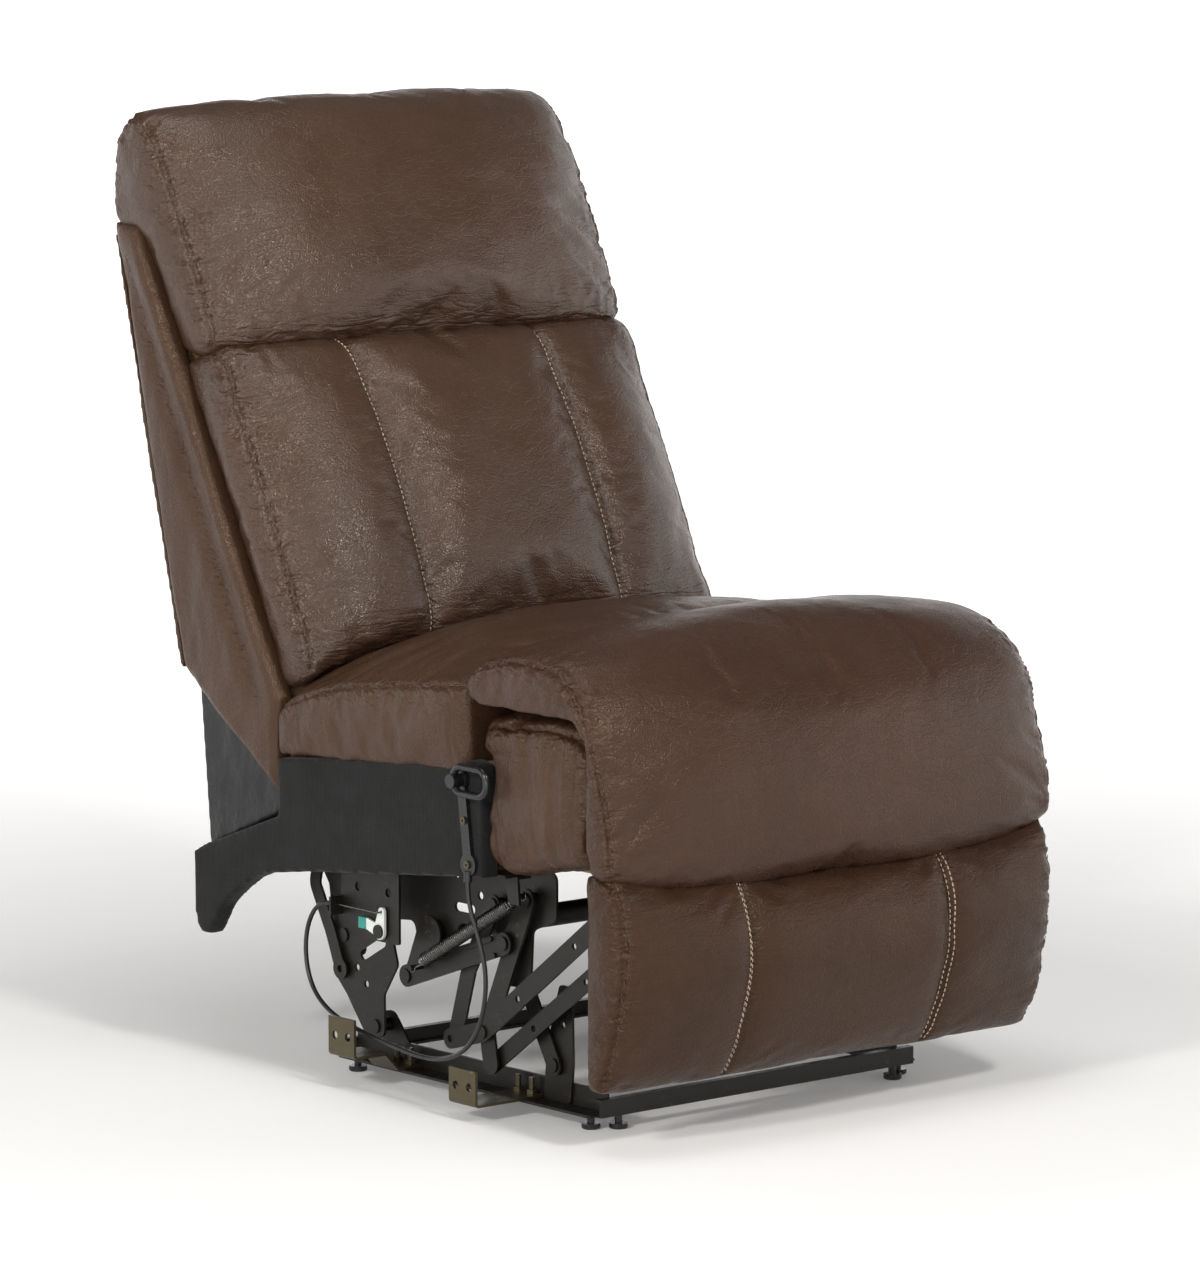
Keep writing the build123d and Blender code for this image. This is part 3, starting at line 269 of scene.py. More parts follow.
WARM = (1.0, 0.84, 0.70)
brown = leather("leather_brown", (0.042, 0.0212, 0.0122), (0.065, 0.0345, 0.0208), specular=0.46,
                tint=(1.0, 0.94, 0.88))
# a darker copy of the same brown leather for the front roll: painted shade, for its less lit place low at the front
brown_roll_painted_shade = leather("leather_brown_roll", (0.036, 0.0178, 0.0112), (0.057, 0.0285, 0.0180), specular=0.3, tint=WARM)
# a still darker copy of the same brown leather for the lowest pieces, the footrest pad and board: painted shade
brown_low_painted_shade = leather("leather_brown_low", (0.031, 0.0142, 0.0078), (0.049, 0.0236, 0.0130), specular=0.26, tint=WARM)
brown_side = leather("leather_brown_side", (0.041, 0.0200, 0.0115), (0.064, 0.0330, 0.0195), stretch=(1, 1.6, 0.8),
                     specular=0.3, tint=WARM)
black_hide = leather("leatherette_black", (0.004, 0.004, 0.0045), (0.008, 0.008, 0.009), rough=(0.4, 0.55))
black_cloth = cloth("cloth_black", (0.0058, 0.0057, 0.0058), sheen=0.1)
web_black = cloth("webbing_black", (0.014, 0.014, 0.014), 1500, depth=0.0006)
thread = cloth("thread_beige", (0.50, 0.38, 0.27), 3000, 0.7, 0.4, 0.0001)
thread_dark = cloth("thread_dark", (0.085, 0.054, 0.034), 3000, 0.7, 0.1, 0.0001)
steel_dark = metal("steel_dark", (0.0085, 0.0066, 0.0046), 0.4, 0.3, (0.16, 0.13, 0.10))
steel_zinc = metal("steel_zinc", (0.095, 0.08, 0.048), 0.36, 0.85, (0.4, 0.35, 0.25))
steel_spring = metal("steel_spring", (0.13, 0.13, 0.125), 0.24, 1.0, (0.5, 0.5, 0.48), 0.2)
black_gloss = plastic("plastic_black", (0.006, 0.006, 0.0065), 0.24)
black_jacket = plastic("jacket_black", (0.006, 0.006, 0.0065), 0.36)
white_part = plastic("plastic_white", (0.62, 0.66, 0.63), 0.3)
teal_part = plastic("plastic_teal", (0.012, 0.24, 0.2), 0.28)
ply_wood = wood("plywood", (0.30, 0.18, 0.09), (0.55, 0.38, 0.22))

NODE_PAINT = {
    "leather": brown, "cover": black_cloth, "webbing": web_black, "plywood": ply_wood, "dark_steel": steel_dark,
    "zinc": steel_zinc, "spring_steel": steel_spring, "black_plastic": black_gloss, "white_plastic": white_part,
    "teal_plastic": teal_part,
}
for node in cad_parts.values():
    found = [s.material.name.split(".")[0] for s in node.material_slots if s.material]
    paint = next((NODE_PAINT[s] for s in NODE_PAINT if found and s in found[0]), steel_dark)
    if node.material_slots:
        for space in node.material_slots:
            space.material = paint
    else:
        node.data.materials.append(paint)

# ---- floor and light: a pale round basin, (radius, height) in metres from its centre outwards ----
profile = [(r, 0.0) for r in (0.5, 1, 2, 3, 4, 5, 6, 8, 10)]
profile += [(10 + 2 * sin(a), 2 - 2 * cos(a)) for a in np.linspace(0, pi / 2, 13)[1:]] + [(12, 4.5)]
SPOKES = 96
floor_points = [(r * cos(2 * pi * k / SPOKES), r * sin(2 * pi * k / SPOKES), z)
                for r, z in profile for k in range(SPOKES)]
floor_faces = [tuple(range(SPOKES))]
for inner in range(0, (len(profile) - 1) * SPOKES, SPOKES):
    for k in range(SPOKES):
        following = (k + 1) % SPOKES
        floor_faces.append((inner + k, inner + SPOKES + k, inner + SPOKES + following, inner + following))
floor = meshed("floor", floor_points, floor_faces)
for face in floor.data.polygons:
    face.use_smooth = True
floor_paint = Paint("floor_pale", (0.86, 0.86, 0.86), 0.9)
floor_paint.feed("Base Color", floor_paint.mix(floor_paint.noise(3), (0.85, 0.85, 0.85), (0.88, 0.88, 0.88)))
away = floor_paint.node("VectorMath", {0: floor_paint.place()}, operation="LENGTH").outputs["Value"]
floor_paint.shader.inputs["Emission Color"].default_value = (1, 1, 1, 1)
floor_paint.feed("Emission Strength", floor_paint.span(away, 0.8, 2.8, 0.08, 0.72))
floor.data.materials.append(floor_paint.material)
world = bpy.data.worlds.new("studio")
scene.world = world
world.use_nodes = True
world.node_tree.nodes["Background"].inputs[0].default_value = (1.0, 0.96, 0.92, 1)
world.node_tree.nodes["Background"].inputs[1].default_value = 0.2
for name, place, target, size, watts, tint in (
        ("key", (-4.0, -1.2, 2.4), (0, 0, 0.6), 0.6, 88, (1.0, 0.97, 0.93)),
        ("front", (-0.6, -3.4, 3.2), (0, 0, 0.75), 0.55, 74, (1.0, 0.97, 0.93)),
        ("fill", (3.6, -3.0, 1.8), (0, 0, 0.5), 2.0, 14, (0.98, 0.98, 1.0)),
        ("top", (-0.4, -0.2, 3.8), (0, 0.2, 0.8), 1.4, 34, (1, 1, 1)),
        ("low", (-3.0, -1.6, 0.45), (-0.2, -0.05, 0.2), 0.7, 10, (1, 0.98, 0.95))):
    lamp = bpy.data.lights.new(name, "AREA")
    lamp.size = size
    lamp.energy = watts
    lamp.color = tint
    light = link(name, lamp)
    light.location = place
    light.rotation_euler = (Vector(target) - Vector(place)).to_track_quat("-Z", "Y").to_euler()


# ---- making soft pieces ----
CHUNK = 20000       # places measured against a line at one time
VOXEL = 0.006       # mesh size of a filled piece before it is made finer, in metres
PRESSURE = 4.0      # of the filling in the cloth simulation
FRAMES = 20         # of that simulation


def hashed(cells, seed):
    """A fixed random value from 0 to 1 for each cell of a lattice."""
    cells = cells.astype(np.int64) & 0xFFFFF
    value = cells[..., 0] * 73856093 ^ cells[..., 1] * 19349663 ^ cells[..., 2] * 83492791 ^ (seed * 2654435761)
    value = (value ^ (value >> 13)) * 1274126177
    value = (value ^ (value >> 16)) & 0xFFFFFFFF
    return value / 0xFFFFFFFF


def ripple(places, size, seed, octaves):
    """Smooth noise from -1 to 1 over places, its cells of a size in metres along each axis."""
    total = np.zeros(len(places))
    weight = 1.0
    size = np.array(size, float)
    for octave in range(octaves):
        scaled = places / size * 2 ** octave
        base = np.floor(scaled)
        part = scaled - base
        part = part * part * (3 - 2 * part)
        value = 0
        for corner in range(8):
            step = np.array([corner & 1, corner >> 1 & 1, corner >> 2 & 1])
            share = np.prod(np.where(step, part, 1 - part), axis=1)
            value = value + share * hashed(base + step, seed + octave)
        total += weight * (2 * value - 1)
        weight *= 0.5
    return total


def rounded(points, hard, counts):
    """A closed line through points, smooth but for the hard corners, with so many steps from each point."""
    points = np.array(points, float)
    total = len(points)
    line = []
    for start in range(total):
        before, first = points[start - 1], points[start]
        second, after = points[(start + 1) % total], points[(start + 2) % total]
        length = np.linalg.norm(second - first)

        def lean(previous, following, sharp):
            """The line's direction at a corner."""
            if sharp:
                return (second - first) / length
            return (following - previous) / (np.linalg.norm(following - previous) + 1e-9)
        enter = lean(before, second, start in hard)
        leave = lean(first, after, (start + 1) % total in hard)
        for step in range(counts[start]):
            t = step / counts[start]
            a = 2 * t ** 3 - 3 * t ** 2 + 1
            b = t ** 3 - 2 * t ** 2 + t
            c = -2 * t ** 3 + 3 * t ** 2
            d = t ** 3 - t ** 2
            line.append(a * first + b * enter * length + c * second + d * leave * length)
    return np.array(line)


def drawn_in(line, distance):
    """A closed line moved inwards by a distance."""
    way = np.roll(line, -1, 0) - np.roll(line, 1, 0)
    way /= np.linalg.norm(way, axis=1)[:, None] + 1e-9
    area = np.sum(line[:, 0] * np.roll(line[:, 1], -1) - np.roll(line[:, 0], -1) * line[:, 1])
    inward = np.stack([-way[:, 1], way[:, 0]], 1) * (1 if area > 0 else -1)
    return line + inward * distance


def around(rings, sides, first=0):
    """Faces of a closed tube with so many rings of points, numbered from first."""
    faces = []
    last = first + (rings - 1) * sides
    for row in range(first, last, sides):
        for column in range(sides):
            following = (column + 1) % sides
            faces.append((row + column, row + following, row + sides + following, row + sides + column))
    faces.append(tuple(reversed(range(first, first + sides))))
    faces.append(tuple(range(last, last + sides)))
    return faces


def loft(name, half, side, middle, hard, inset, edge, channels, bulge):
    """Closed mesh across X from a side outline to a fuller middle, its ends rounded. Outlines are (y, z) in mm."""
    counts = []
    for start in range(len(side)):
        end = (start + 1) % len(side)
        length = max(np.hypot(*(np.array(line[end]) - np.array(line[start]))) for line in (side, middle))
        counts.append(max(2, int(length / 6)))
    outer = rounded(side, hard, counts) / 1000
    inner = rounded(middle, hard, counts) / 1000
    places = list(np.linspace(-half + edge, half - edge, 81))
    ends = [half - edge + edge * sin(angle) for angle in np.linspace(0, pi / 2, 7)[1:]]
    places = [-x for x in reversed(ends)] + places + ends
    rings, first_rings = [], {}
    for x in places:
        share = max(0.0, 1 - (min(1.0, abs(x) / (half - edge))) ** 2.6) ** 0.7
        for place in channels:
            share *= 1 - 0.3 * np.exp(-((abs(x) - place) / 0.016) ** 2)
        ring = outer + (inner - outer) * share
        past = max(0.0, abs(x) - (half - edge))
        pull = edge - sqrt(max(0.0, edge * edge - past * past)) + inset
        ring = drawn_in(ring, pull)
        rings.append(np.column_stack([np.full(len(ring), x * (1 - inset / half)), ring]))
    if bulge:
        for size in (0.9, 0.75, 0.55, 0.3, 0.1):
            for way in (-1, 1):
                ring = rings[0 if way < 0 else -1]
                base = first_rings.setdefault(way, ring)
                centre = base.mean(0)
                ring = centre + (base - centre) * (1, size, size)
                ring[:, 0] = base[:, 0] + way * bulge * (1 - size ** 2)
                rings = [ring] + rings if way < 0 else rings + [ring]
    piece = meshed(name, np.concatenate(rings), around(len(rings), len(rings[0])))
    fix = bmesh.new()
    fix.from_mesh(piece.data)
    bmesh.ops.recalc_face_normals(fix, faces=fix.faces)
    fix.to_mesh(piece.data)
    fix.free()
    return piece


def coordinates(piece):
    """A mesh's points as an array."""
    values = np.empty(len(piece.data.vertices) * 3)
    piece.data.vertices.foreach_get("co", values)
    return values.reshape(-1, 3)


def normals(piece):
    """A mesh's directions at its points."""
    values = np.empty(len(piece.data.vertices) * 3)
    piece.data.vertices.foreach_get("normal", values)
    return values.reshape(-1, 3)


def set_coordinates(piece, values):
    """A mesh's points moved to new places."""
    piece.data.vertices.foreach_set("co", np.ascontiguousarray(values, float).ravel())
    piece.data.update()


def settle(piece):
    """The piece's modifiers made part of its mesh."""
    done = bpy.data.meshes.new_from_object(piece.evaluated_get(bpy.context.evaluated_depsgraph_get()))
    piece.modifiers.clear()
    piece.data = done
    done.name = piece.name
    return piece


def remesh(piece, size):
    """An even mesh of squares over a closed piece."""
    change = piece.modifiers.new("even", "REMESH")
    change.mode = "VOXEL"
    change.voxel_size = size
    return settle(piece)


def nearest_gap(places, route):
    """Distance from each place to a line of close points."""
    route = np.array(route)
    best = np.empty(len(places))
    for start in range(0, len(places), CHUNK):
        chunk = places[start:start + CHUNK]
        best[start:start + CHUNK] = np.sqrt(((chunk[:, None, :] - route[None, :, :]) ** 2).sum(2).min(1))
    return best


def puff(piece, held, cap, slack):
    """Leather blown out by its filling and held at its seams: a cloth simulation, its movement capped."""
    start = coordinates(piece)
    group = piece.vertex_groups.new(name="held")
    weights = held(start)
    for level in (0.25, 0.5, 0.75, 1.0):
        chosen = np.nonzero((weights > level - 0.25) & (weights <= level))[0]
        if len(chosen):
            group.add([int(i) for i in chosen], level, "REPLACE")
    change = piece.modifiers.new("skin", "CLOTH")
    settings = change.settings
    settings.use_pressure = True
    settings.uniform_pressure_force = PRESSURE
    settings.vertex_group_mass = "held"
    settings.pin_stiffness = 4.0
    settings.quality = 3
    settings.mass = 0.35
    settings.tension_stiffness = 25
    settings.compression_stiffness = 25
    settings.shear_stiffness = 12
    settings.bending_stiffness = 1.5
    settings.shrink_min = -slack
    settings.effector_weights.gravity = 0
    change.collision_settings.use_collision = False
    change.point_cache.frame_start = 1
    change.point_cache.frame_end = FRAMES
    for number in range(1, FRAMES + 1):
        scene.frame_set(number)
    settle(piece)
    scene.frame_set(1)
    piece.vertex_groups.clear()
    moved = coordinates(piece) - start
    far = np.linalg.norm(moved, axis=1)
    share = np.minimum(1.0, cap / np.maximum(far, 1e-9))
    set_coordinates(piece, start + moved * share[:, None])
    return piece


def subdivide(piece):
    """Each face made into four, smoothly."""
    change = piece.modifiers.new("fine", "SUBSURF")
    change.levels = 1
    change.render_levels = 1
    return settle(piece)


def relax(piece, turns):
    """Steps and sharp edges of a mesh averaged out."""
    change = piece.modifiers.new("relax", "SMOOTH")
    change.factor = 0.5
    change.iterations = turns
    return settle(piece)


def tree_of(piece):
    """A piece's surface, to find places on."""
    return BVHTree.FromPolygons([v.co for v in piece.data.vertices], [p.vertices for p in piece.data.polygons])


def shade(piece, paint):
    """A piece in one smooth material."""
    for face in piece.data.polygons:
        face.use_smooth = True
    piece.data.materials.clear()
    piece.data.materials.append(paint)
    return piece


def even(route, step):
    """Points along a route, a step apart."""
    route = np.array(route, float)
    lengths = np.concatenate([[0], np.cumsum(np.linalg.norm(np.diff(route, axis=0), axis=1))])
    places = np.arange(0, lengths[-1], step)
    return np.column_stack([np.interp(places, lengths, route[:, axis]) for axis in range(3)])


def onto(tree, route):
    """A route's nearest points on a surface, with the surface's directions there."""
    found = [tree.find_nearest(Vector(p)) for p in route]
    return (np.array([f[0][:] for f in found]), np.array([f[1][:] for f in found]))


def groove(piece, route, depth, width):
    """A seam pressed into a surface along a route."""
    places = coordinates(piece)
    low, high = np.array(route).min(0) - 4 * width, np.array(route).max(0) + 4 * width
    near = np.nonzero(((places > low) & (places < high)).all(1))[0]
    gap = nearest_gap(places[near], even(route, width / 3))
    places[near] -= normals(piece)[near] * (depth * np.exp(-(gap / width) ** 2))[:, None]
    set_coordinates(piece, places)


def gathers(piece, route, reach, height, pitch, seed):
    """Short creases running away from a seam, strongest at it, and the seam's nearness for the leather."""
    places = coordinates(piece)
    step = 0.004
    line = even(route, step)
    low, high = line.min(0) - 3 * reach, line.max(0) + 3 * reach
    near = np.nonzero(((places > low) & (places < high)).all(1))[0]
    chunk = places[near]
    index = np.empty(len(chunk), int)
    gap = np.empty(len(chunk))
    for start in range(0, len(chunk), CHUNK):
        part = ((chunk[start:start + CHUNK, None, :] - line[None]) ** 2).sum(2)
        index[start:start + CHUNK] = part.argmin(1)
        gap[start:start + CHUNK] = np.sqrt(part.min(1))
    along = index * step
    way = np.column_stack([along / pitch, gap / (reach * 2.2), np.full(len(gap), seed * 1.7)])
    fold = 1 - 2 * np.abs(ripple(way, (1, 1, 1), seed, 2))
    rise = height * fold * np.exp(-gap / reach) * (1 - np.exp(-(gap / 0.004) ** 2) * 0.5)
    places[near] += normals(piece)[near] * rise[:, None]
    set_coordinates(piece, places)
    attribute = piece.data.attributes.get("pucker") or piece.data.attributes.new("pucker", "FLOAT", "POINT")
    share = np.zeros(len(places), np.float32)
    attribute.data.foreach_get("value", share)
    share[near] = np.maximum(share[near], np.exp(-(gap / reach) ** 1.5))
    attribute.data.foreach_set("value", share)


def unevenness(piece, size, height, seed):
    """A surface's gentle hollows and swellings."""
    places = coordinates(piece)
    set_coordinates(piece, places + normals(piece) * (height * ripple(places, size, seed, 3))[:, None])


def steady(line, reach):
    """A line of close points or directions with its jitter averaged out, its ends kept."""
    padded = np.vstack([2 * line[:1] - line[reach:0:-1], line, 2 * line[-1:] - line[-2:-reach - 2:-1]])
    window = np.hanning(2 * reach + 3)[1:-1]
    window /= window.sum()
    return np.column_stack([np.convolve(padded[:, axis], window, "valid") for axis in range(3)])


STITCH = 0.0044     # length of a stitch
SPACING = 0.0062    # from one stitch to the next
STITCH_ROWS = (0, 0.12, 0.35, 0.65, 0.88, 1)
STITCH_SIDES = 6


def stitching(name, route, tree, body, paint, radius, lift, off, smooth=12):
    """A row of separate stitches lying on a surface, off to one side of a route."""
    line = even(route, 0.0015)
    hits, ups = onto(tree, line)
    hits, ups = steady(hits, smooth), steady(ups, smooth)
    ways = np.gradient(hits, axis=0)
    ways /= np.linalg.norm(ways, axis=1)[:, None] + 1e-9
    hits, ups = onto(tree, hits + np.cross(ups, ways) * off)
    hits, ups = steady(hits, smooth // 2), steady(ups, smooth // 2)
    distance = np.concatenate([[0], np.cumsum(np.linalg.norm(np.diff(hits, axis=0), axis=1))])
    points, faces = [], []
    for begin in np.arange(0.003, distance[-1] - STITCH, SPACING):
        first = len(points)
        for share in STITCH_ROWS:
            at = begin + share * STITCH
            place, up, way = [np.array([np.interp(at, distance, line[:, axis]) for axis in range(3)])
                              for line in (hits, ups, ways)]
            up /= np.linalg.norm(up)
            cross = np.cross(way, up)
            cross /= np.linalg.norm(cross) + 1e-9
            bow = sin(pi * share)
            size = radius * (0.35 + 0.65 * min(1, bow * 1.6))
            base = place + up * (lift + radius * (0.9 * bow - 0.5))
            points += [base + (cross * cos(angle) + up * sin(angle)) * size
                       for angle in np.linspace(0, 2 * pi, STITCH_SIDES + 1)[:-1]]
        faces += around(len(STITCH_ROWS), STITCH_SIDES, first)
    piece = meshed(name, points, faces)
    shade(piece, paint)
    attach(piece, body)
    return piece


def cast(tree, starts, way):
    """Where rays from starts meet a surface."""
    found = [tree.ray_cast(Vector(p), Vector(way)) for p in starts]
    return [np.array(f[0][:]) for f in found if f[0] is not None]


def tube(name, points, radius, body, paint, sides):
    """A closed round wire along close points in metres."""
    points = np.array(points, float)
    ways = np.gradient(points, axis=0)
    ways /= np.linalg.norm(ways, axis=1)[:, None]
    up = np.cross(ways[0], (0.3, 0.5, 0.81))
    rings = []
    for place, way in zip(points, ways):
        up = up - way * (up @ way)
        up /= np.linalg.norm(up)
        other = np.cross(way, up)
        rings += [place + radius * (up * cos(a) + other * sin(a)) for a in np.linspace(0, 2 * pi, sides + 1)[:-1]]
    piece = meshed(name, rings, around(len(points), sides))
    shade(piece, paint)
    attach(piece, body)
    return piece


def from_node(name, node, body, paint, voxel, keep=None, turns=2, fine=False):
    """An evenly meshed, slightly softened copy of a CAD node, or of the solids on one side of it."""
    piece = link(name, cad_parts[node].data.copy())
    weld = bmesh.new()
    weld.from_mesh(piece.data)
    bmesh.ops.remove_doubles(weld, verts=weld.verts, dist=1e-6)
    if keep is not None:
        bmesh.ops.delete(weld, geom=[v for v in weld.verts if not keep(v.co)], context="VERTS")
    weld.to_mesh(piece.data)
    weld.free()
    remesh(piece, voxel)
    relax(piece, turns)
    if fine:
        subdivide(piece)
    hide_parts(node)
    shade(piece, paint)
    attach(piece, body)
    return piece


def sewn(piece, routes, body, seed, reach=0.022, height=0.0024, pitch=0.013, depth=0.0042, stitches=True):
    """Side seams on a filled piece: gathered, pressed in and stitched. Height may be one for each seam."""
    heights = height if isinstance(height, tuple) else (height,) * len(routes)
    for number, route in enumerate(routes):
        tree = tree_of(piece)
        hits, _ = onto(tree, even(route, 0.004))
        gathers(piece, hits, reach, heights[number], pitch, seed + number)
        groove(piece, hits, depth, width=0.0032)
    if stitches:
        tree = tree_of(piece)
        for number, route in enumerate(routes):
            hits, _ = onto(tree, even(route, 0.004))
            stitching(f"{piece.name}_seam_{number + 1}", hits, tree, body, thread_dark, radius=0.0005, lift=0.0005,
                      off=0.0026)


def topstitched(piece, routes, body, rows=(-1, 1)):
    """Sewn channels with rows of light thread on one or both sides of them."""
    for number, route in enumerate(routes):
        gathers(piece, route, reach=0.012, height=0.0004, pitch=0.009, seed=5 + number)
        groove(piece, route, depth=0.0048, width=0.0042)
    tree = tree_of(piece)
    for number, route in enumerate(routes):
        hits, _ = onto(tree, even(route, 0.004))
        for row in rows:
            name = f"{piece.name}_topstitch_{number + 1}" + ("b" if row > 0 else "a")
            stitching(name, hits, tree, body, thread, radius=0.00075, lift=0.0008, off=0.0042 * row, smooth=20)


def side_route(points, half):
    """A seam's route up one side of a cushion and its mirror image: places (y, z) in mm."""
    line = np.array(points, float) / 1000
    return [[(sign * half, *p) for p in line] for sign in (-1, 1)]


# ---- back: cushions, wings, covers ----
# The crease line is where the cushions meet the back's frame: its foot (y, z) in millimetres and its way up.
FOOT = np.array((148.0, 411.0))
WAY = np.array((246.0, 481.0)) / 540.256


def on_back(along, forward):
    """Point (y, z) in millimetres up the back's crease line and in front of it."""
    return (FOOT[0] + along * WAY[0] - forward * WAY[1], FOOT[1] + along * WAY[1] + forward * WAY[0])


def between_wings(piece, narrow, front, top):
    """The rear of a back cushion drawn in, so that it sits between the wings' front edges."""
    places = coordinates(piece)
    depth = np.clip(1 - forward_of(places) / front, 0, 1) ** 1.3
    low = np.clip((top - along_of(places)) / 0.05, 0, 1)
    places[:, 0] *= 1 - narrow * depth * low
    set_coordinates(piece, places)


def soft(name, node, body, half, side, middle, hard, flat, paint, inset=0.003, cap=0.022, slack=0.02, edge=0.014,
         channels=(), bulge=0.0, taper=None, wrap=None):
    """A filled leather piece in place of a CAD node, simulated where it isn't held."""
    piece = loft(name, half, side, middle, hard, inset, edge, channels, bulge)
    if taper:
        between_wings(piece, *taper)
    if wrap:
        # the rear edges of its ends go on round the board, from the first y to the second
        places = coordinates(piece)
        ends = (np.abs(places[:, 0]) > half - 0.0205) & (places[:, 1] > wrap[0] - 0.002)
        places[ends, 1] = wrap[1]
        set_coordinates(piece, places)
    remesh(piece, VOXEL)
    relax(piece, 4)
    outline = rounded(side, hard, [12] * len(side)) / 1000
    seams = [[(s * (half - edge * 0.6), *p) for p in np.vstack([outline, outline[:1]])] for s in (-1, 1)]
    lines = np.vstack([even(route, 0.003) for route in seams])

    def held(places):
        """Held at the end seams, the sewn channels and where it lies flat."""
        rest = flat(places).astype(float)
        rest = np.maximum(rest, nearest_gap(places, lines) < 0.006)
        for place in channels:
            rest = np.maximum(rest, (np.abs(np.abs(places[:, 0]) - place) < 0.004) * 1.0)
        return rest
    puff(piece, held, cap, slack)
    subdivide(piece)
    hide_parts(node)
    shade(piece, paint)
    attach(piece, body)
    return piece


def forward_of(places):
    """How far in front of the back's crease line places lie, in metres."""
    y, z = places[:, 1] - FOOT[0] / 1000, places[:, 2] - FOOT[1] / 1000
    return -y * WAY[1] + z * WAY[0]


def along_of(places):
    """How far up the back's crease line places lie, in metres."""
    y, z = places[:, 1] - FOOT[0] / 1000, places[:, 2] - FOOT[1] / 1000
    return y * WAY[0] + z * WAY[1]


head_side = [on_back(*p) for p in ((400, -1), (383, 60), (437, 72), (507, 75), (579, 74), (651, 64), (673, 34),
                                   (626, -19), (567, -33), (548, -1))]
head_middle = [on_back(*p) for p in ((400, -1), (374, 96), (427, 120), (501, 128), (581, 127), (645, 108), (681, 58),
                                     (644, -20), (573, -36), (548, -1))]
lumbar_side = [on_back(*p) for p in ((8, -1), (8, 62), (93, 70), (207, 75), (301, 74), (376, 72), (398, -1))]
lumbar_middle = [on_back(*p) for p in ((8, -1), (34, 100), (93, 127), (209, 134), (306, 125), (374, 98), (398, -1))]

head = soft("head_pillow", "head_cushion", "back", 0.296, head_side, head_middle, (0, 9),
            lambda p: forward_of(p) < 0.004, brown, slack=0.006, bulge=0.005, taper=(0.032, 0.04, 0.545), inset=0.001)
unevenness(head, (0.09, 0.05, 0.06), 0.0014, 11)
sewn(head, side_route(rounded(head_side, (0, 9), [9] * 10)[9:70], 0.291), "back", seed=21, height=(0.0030, 0.0022))
lumbar = soft("lumbar_pillow", "lumbar_cushion", "back", 0.296, lumbar_side, lumbar_middle, (0, 6),
              lambda p: forward_of(p) < 0.004, brown, channels=(0.134,), slack=0.006, bulge=0.006,
              taper=(0.032, 0.04, 0.6), inset=0.002)
unevenness(lumbar, (0.08, 0.05, 0.06), 0.0012, 12)
sewn(lumbar, side_route(rounded(lumbar_side, (0, 6), [9] * 7)[9:50], 0.291), "back", seed=31, reach=0.03,
     height=(0.0030, 0.0009), pitch=0.016)
# the cushions' lower and upper front edges
for piece, along, forward, seed in ((head, 388, 84, 25), (lumbar, 384, 74, 35), (lumbar, 20, 84, 36)):
    edge_line = [(x, *(v / 1000 for v in on_back(along, forward))) for x in np.linspace(-0.27, 0.27, 40)]
    gathers(piece, onto(tree_of(piece), edge_line)[0], 0.03, 0.0026, 0.028, seed)
into_back = (0, WAY[1], -WAY[0])
tree = tree_of(lumbar)
channel_routes = [cast(tree, [(x, *(v / 1000 for v in on_back(along, 320))) for along in range(14, 392, 4)],
                       into_back) for x in (-0.134, 0.134)]
topstitched(lumbar, channel_routes, "back", rows=(1,))

for sign, side in SIDES:
    wing = from_node(f"{side}_wing_cover", f"{side}_wing", "back", brown_side, 0.005, turns=5, fine=True)
    places = coordinates(wing)
    rise = along_of(places)
    front = forward_of(places)
    # the top comes up to the head cushion and the front edge comes forward as a lip; the outer face swells, with a
    # fuller edge and a shallow line behind it
    rear = np.interp(rise, (0, 0.54), (-0.145, -0.034))
    share = np.clip((front - rear) / (0.0 - rear), 0, 1)
    body_share = np.clip((rise + 0.02) / 0.08, 0, 1) * np.clip((0.56 - rise) / 0.06, 0, 1)
    outer = np.clip((np.abs(places[:, 0]) - 0.282) / 0.012, 0, 1)
    places[:, 1:] += WAY[None] * (0.016 * np.clip((rise - 0.50) / 0.035, 0, 1))[:, None]
    lip = np.clip((front + 0.022) / 0.02, 0, 1) * np.clip((rise + 0.05) / 0.05, 0, 1)
    places[:, 1:] += (np.array((-WAY[1], WAY[0])) * 0.0085)[None] * lip[:, None]
    places[:, 0] += sign * outer * body_share * (0.0028 * np.sin(pi * share) + 0.0052 * np.exp(
        -((front + 0.004) / 0.013) ** 2) - 0.0042 * np.exp(-((front + 0.030) / 0.013) ** 2))
    places[:, 0] += sign * outer * 0.0012 * ripple(places, (0.05, 0.03, 0.09), 41 + sign, 3)
    set_coordinates(wing, places)
    sewn(wing, [[(sign * 0.302, *(np.array(on_back(along, forward)) / 1000)) for along, forward in
                 ((10, -30), (150, -31), (300, -30), (450, -30), (530, -24))]], "back", seed=44 + sign,
         reach=0.007, height=0.0007, depth=0.0008, stitches=False)

outside = from_node("outside_cover", "outside_back", "back", brown_side, 0.004, turns=3)
unevenness(outside, (0.16, 0.06, 0.1), 0.0016, 51)
skirt = from_node("rear_skirt_cloth", "rear_skirt", "back", black_cloth, 0.0024)
unevenness(skirt, (0.12, 0.2, 0.16), 0.0016, 52)
for sign, side in SIDES:
    gusset = from_node(f"{side}_gusset_cloth", "skirt_gussets", "back", black_hide, 0.002,
                       keep=lambda co: co.x * sign > 0)
    places = coordinates(gusset)
    places[:, 0] += 0.0016 * ripple(places, (1, 0.02, 0.035), 53 + sign, 3) * np.clip(
        (0.31 - places[:, 1]) / 0.03, 0, 1)
    set_coordinates(gusset, places)

# ---- seat: cushion, core pad, front roll ----
seat_side = [(147, 348.5), (147, 404), (127, 416), (39, 443), (-70, 458), (-183, 470), (-183, 370)]
seat_middle = [(147, 348.5), (147, 422), (98, 472), (30, 490), (-80, 504), (-183, 508), (-183, 370)]


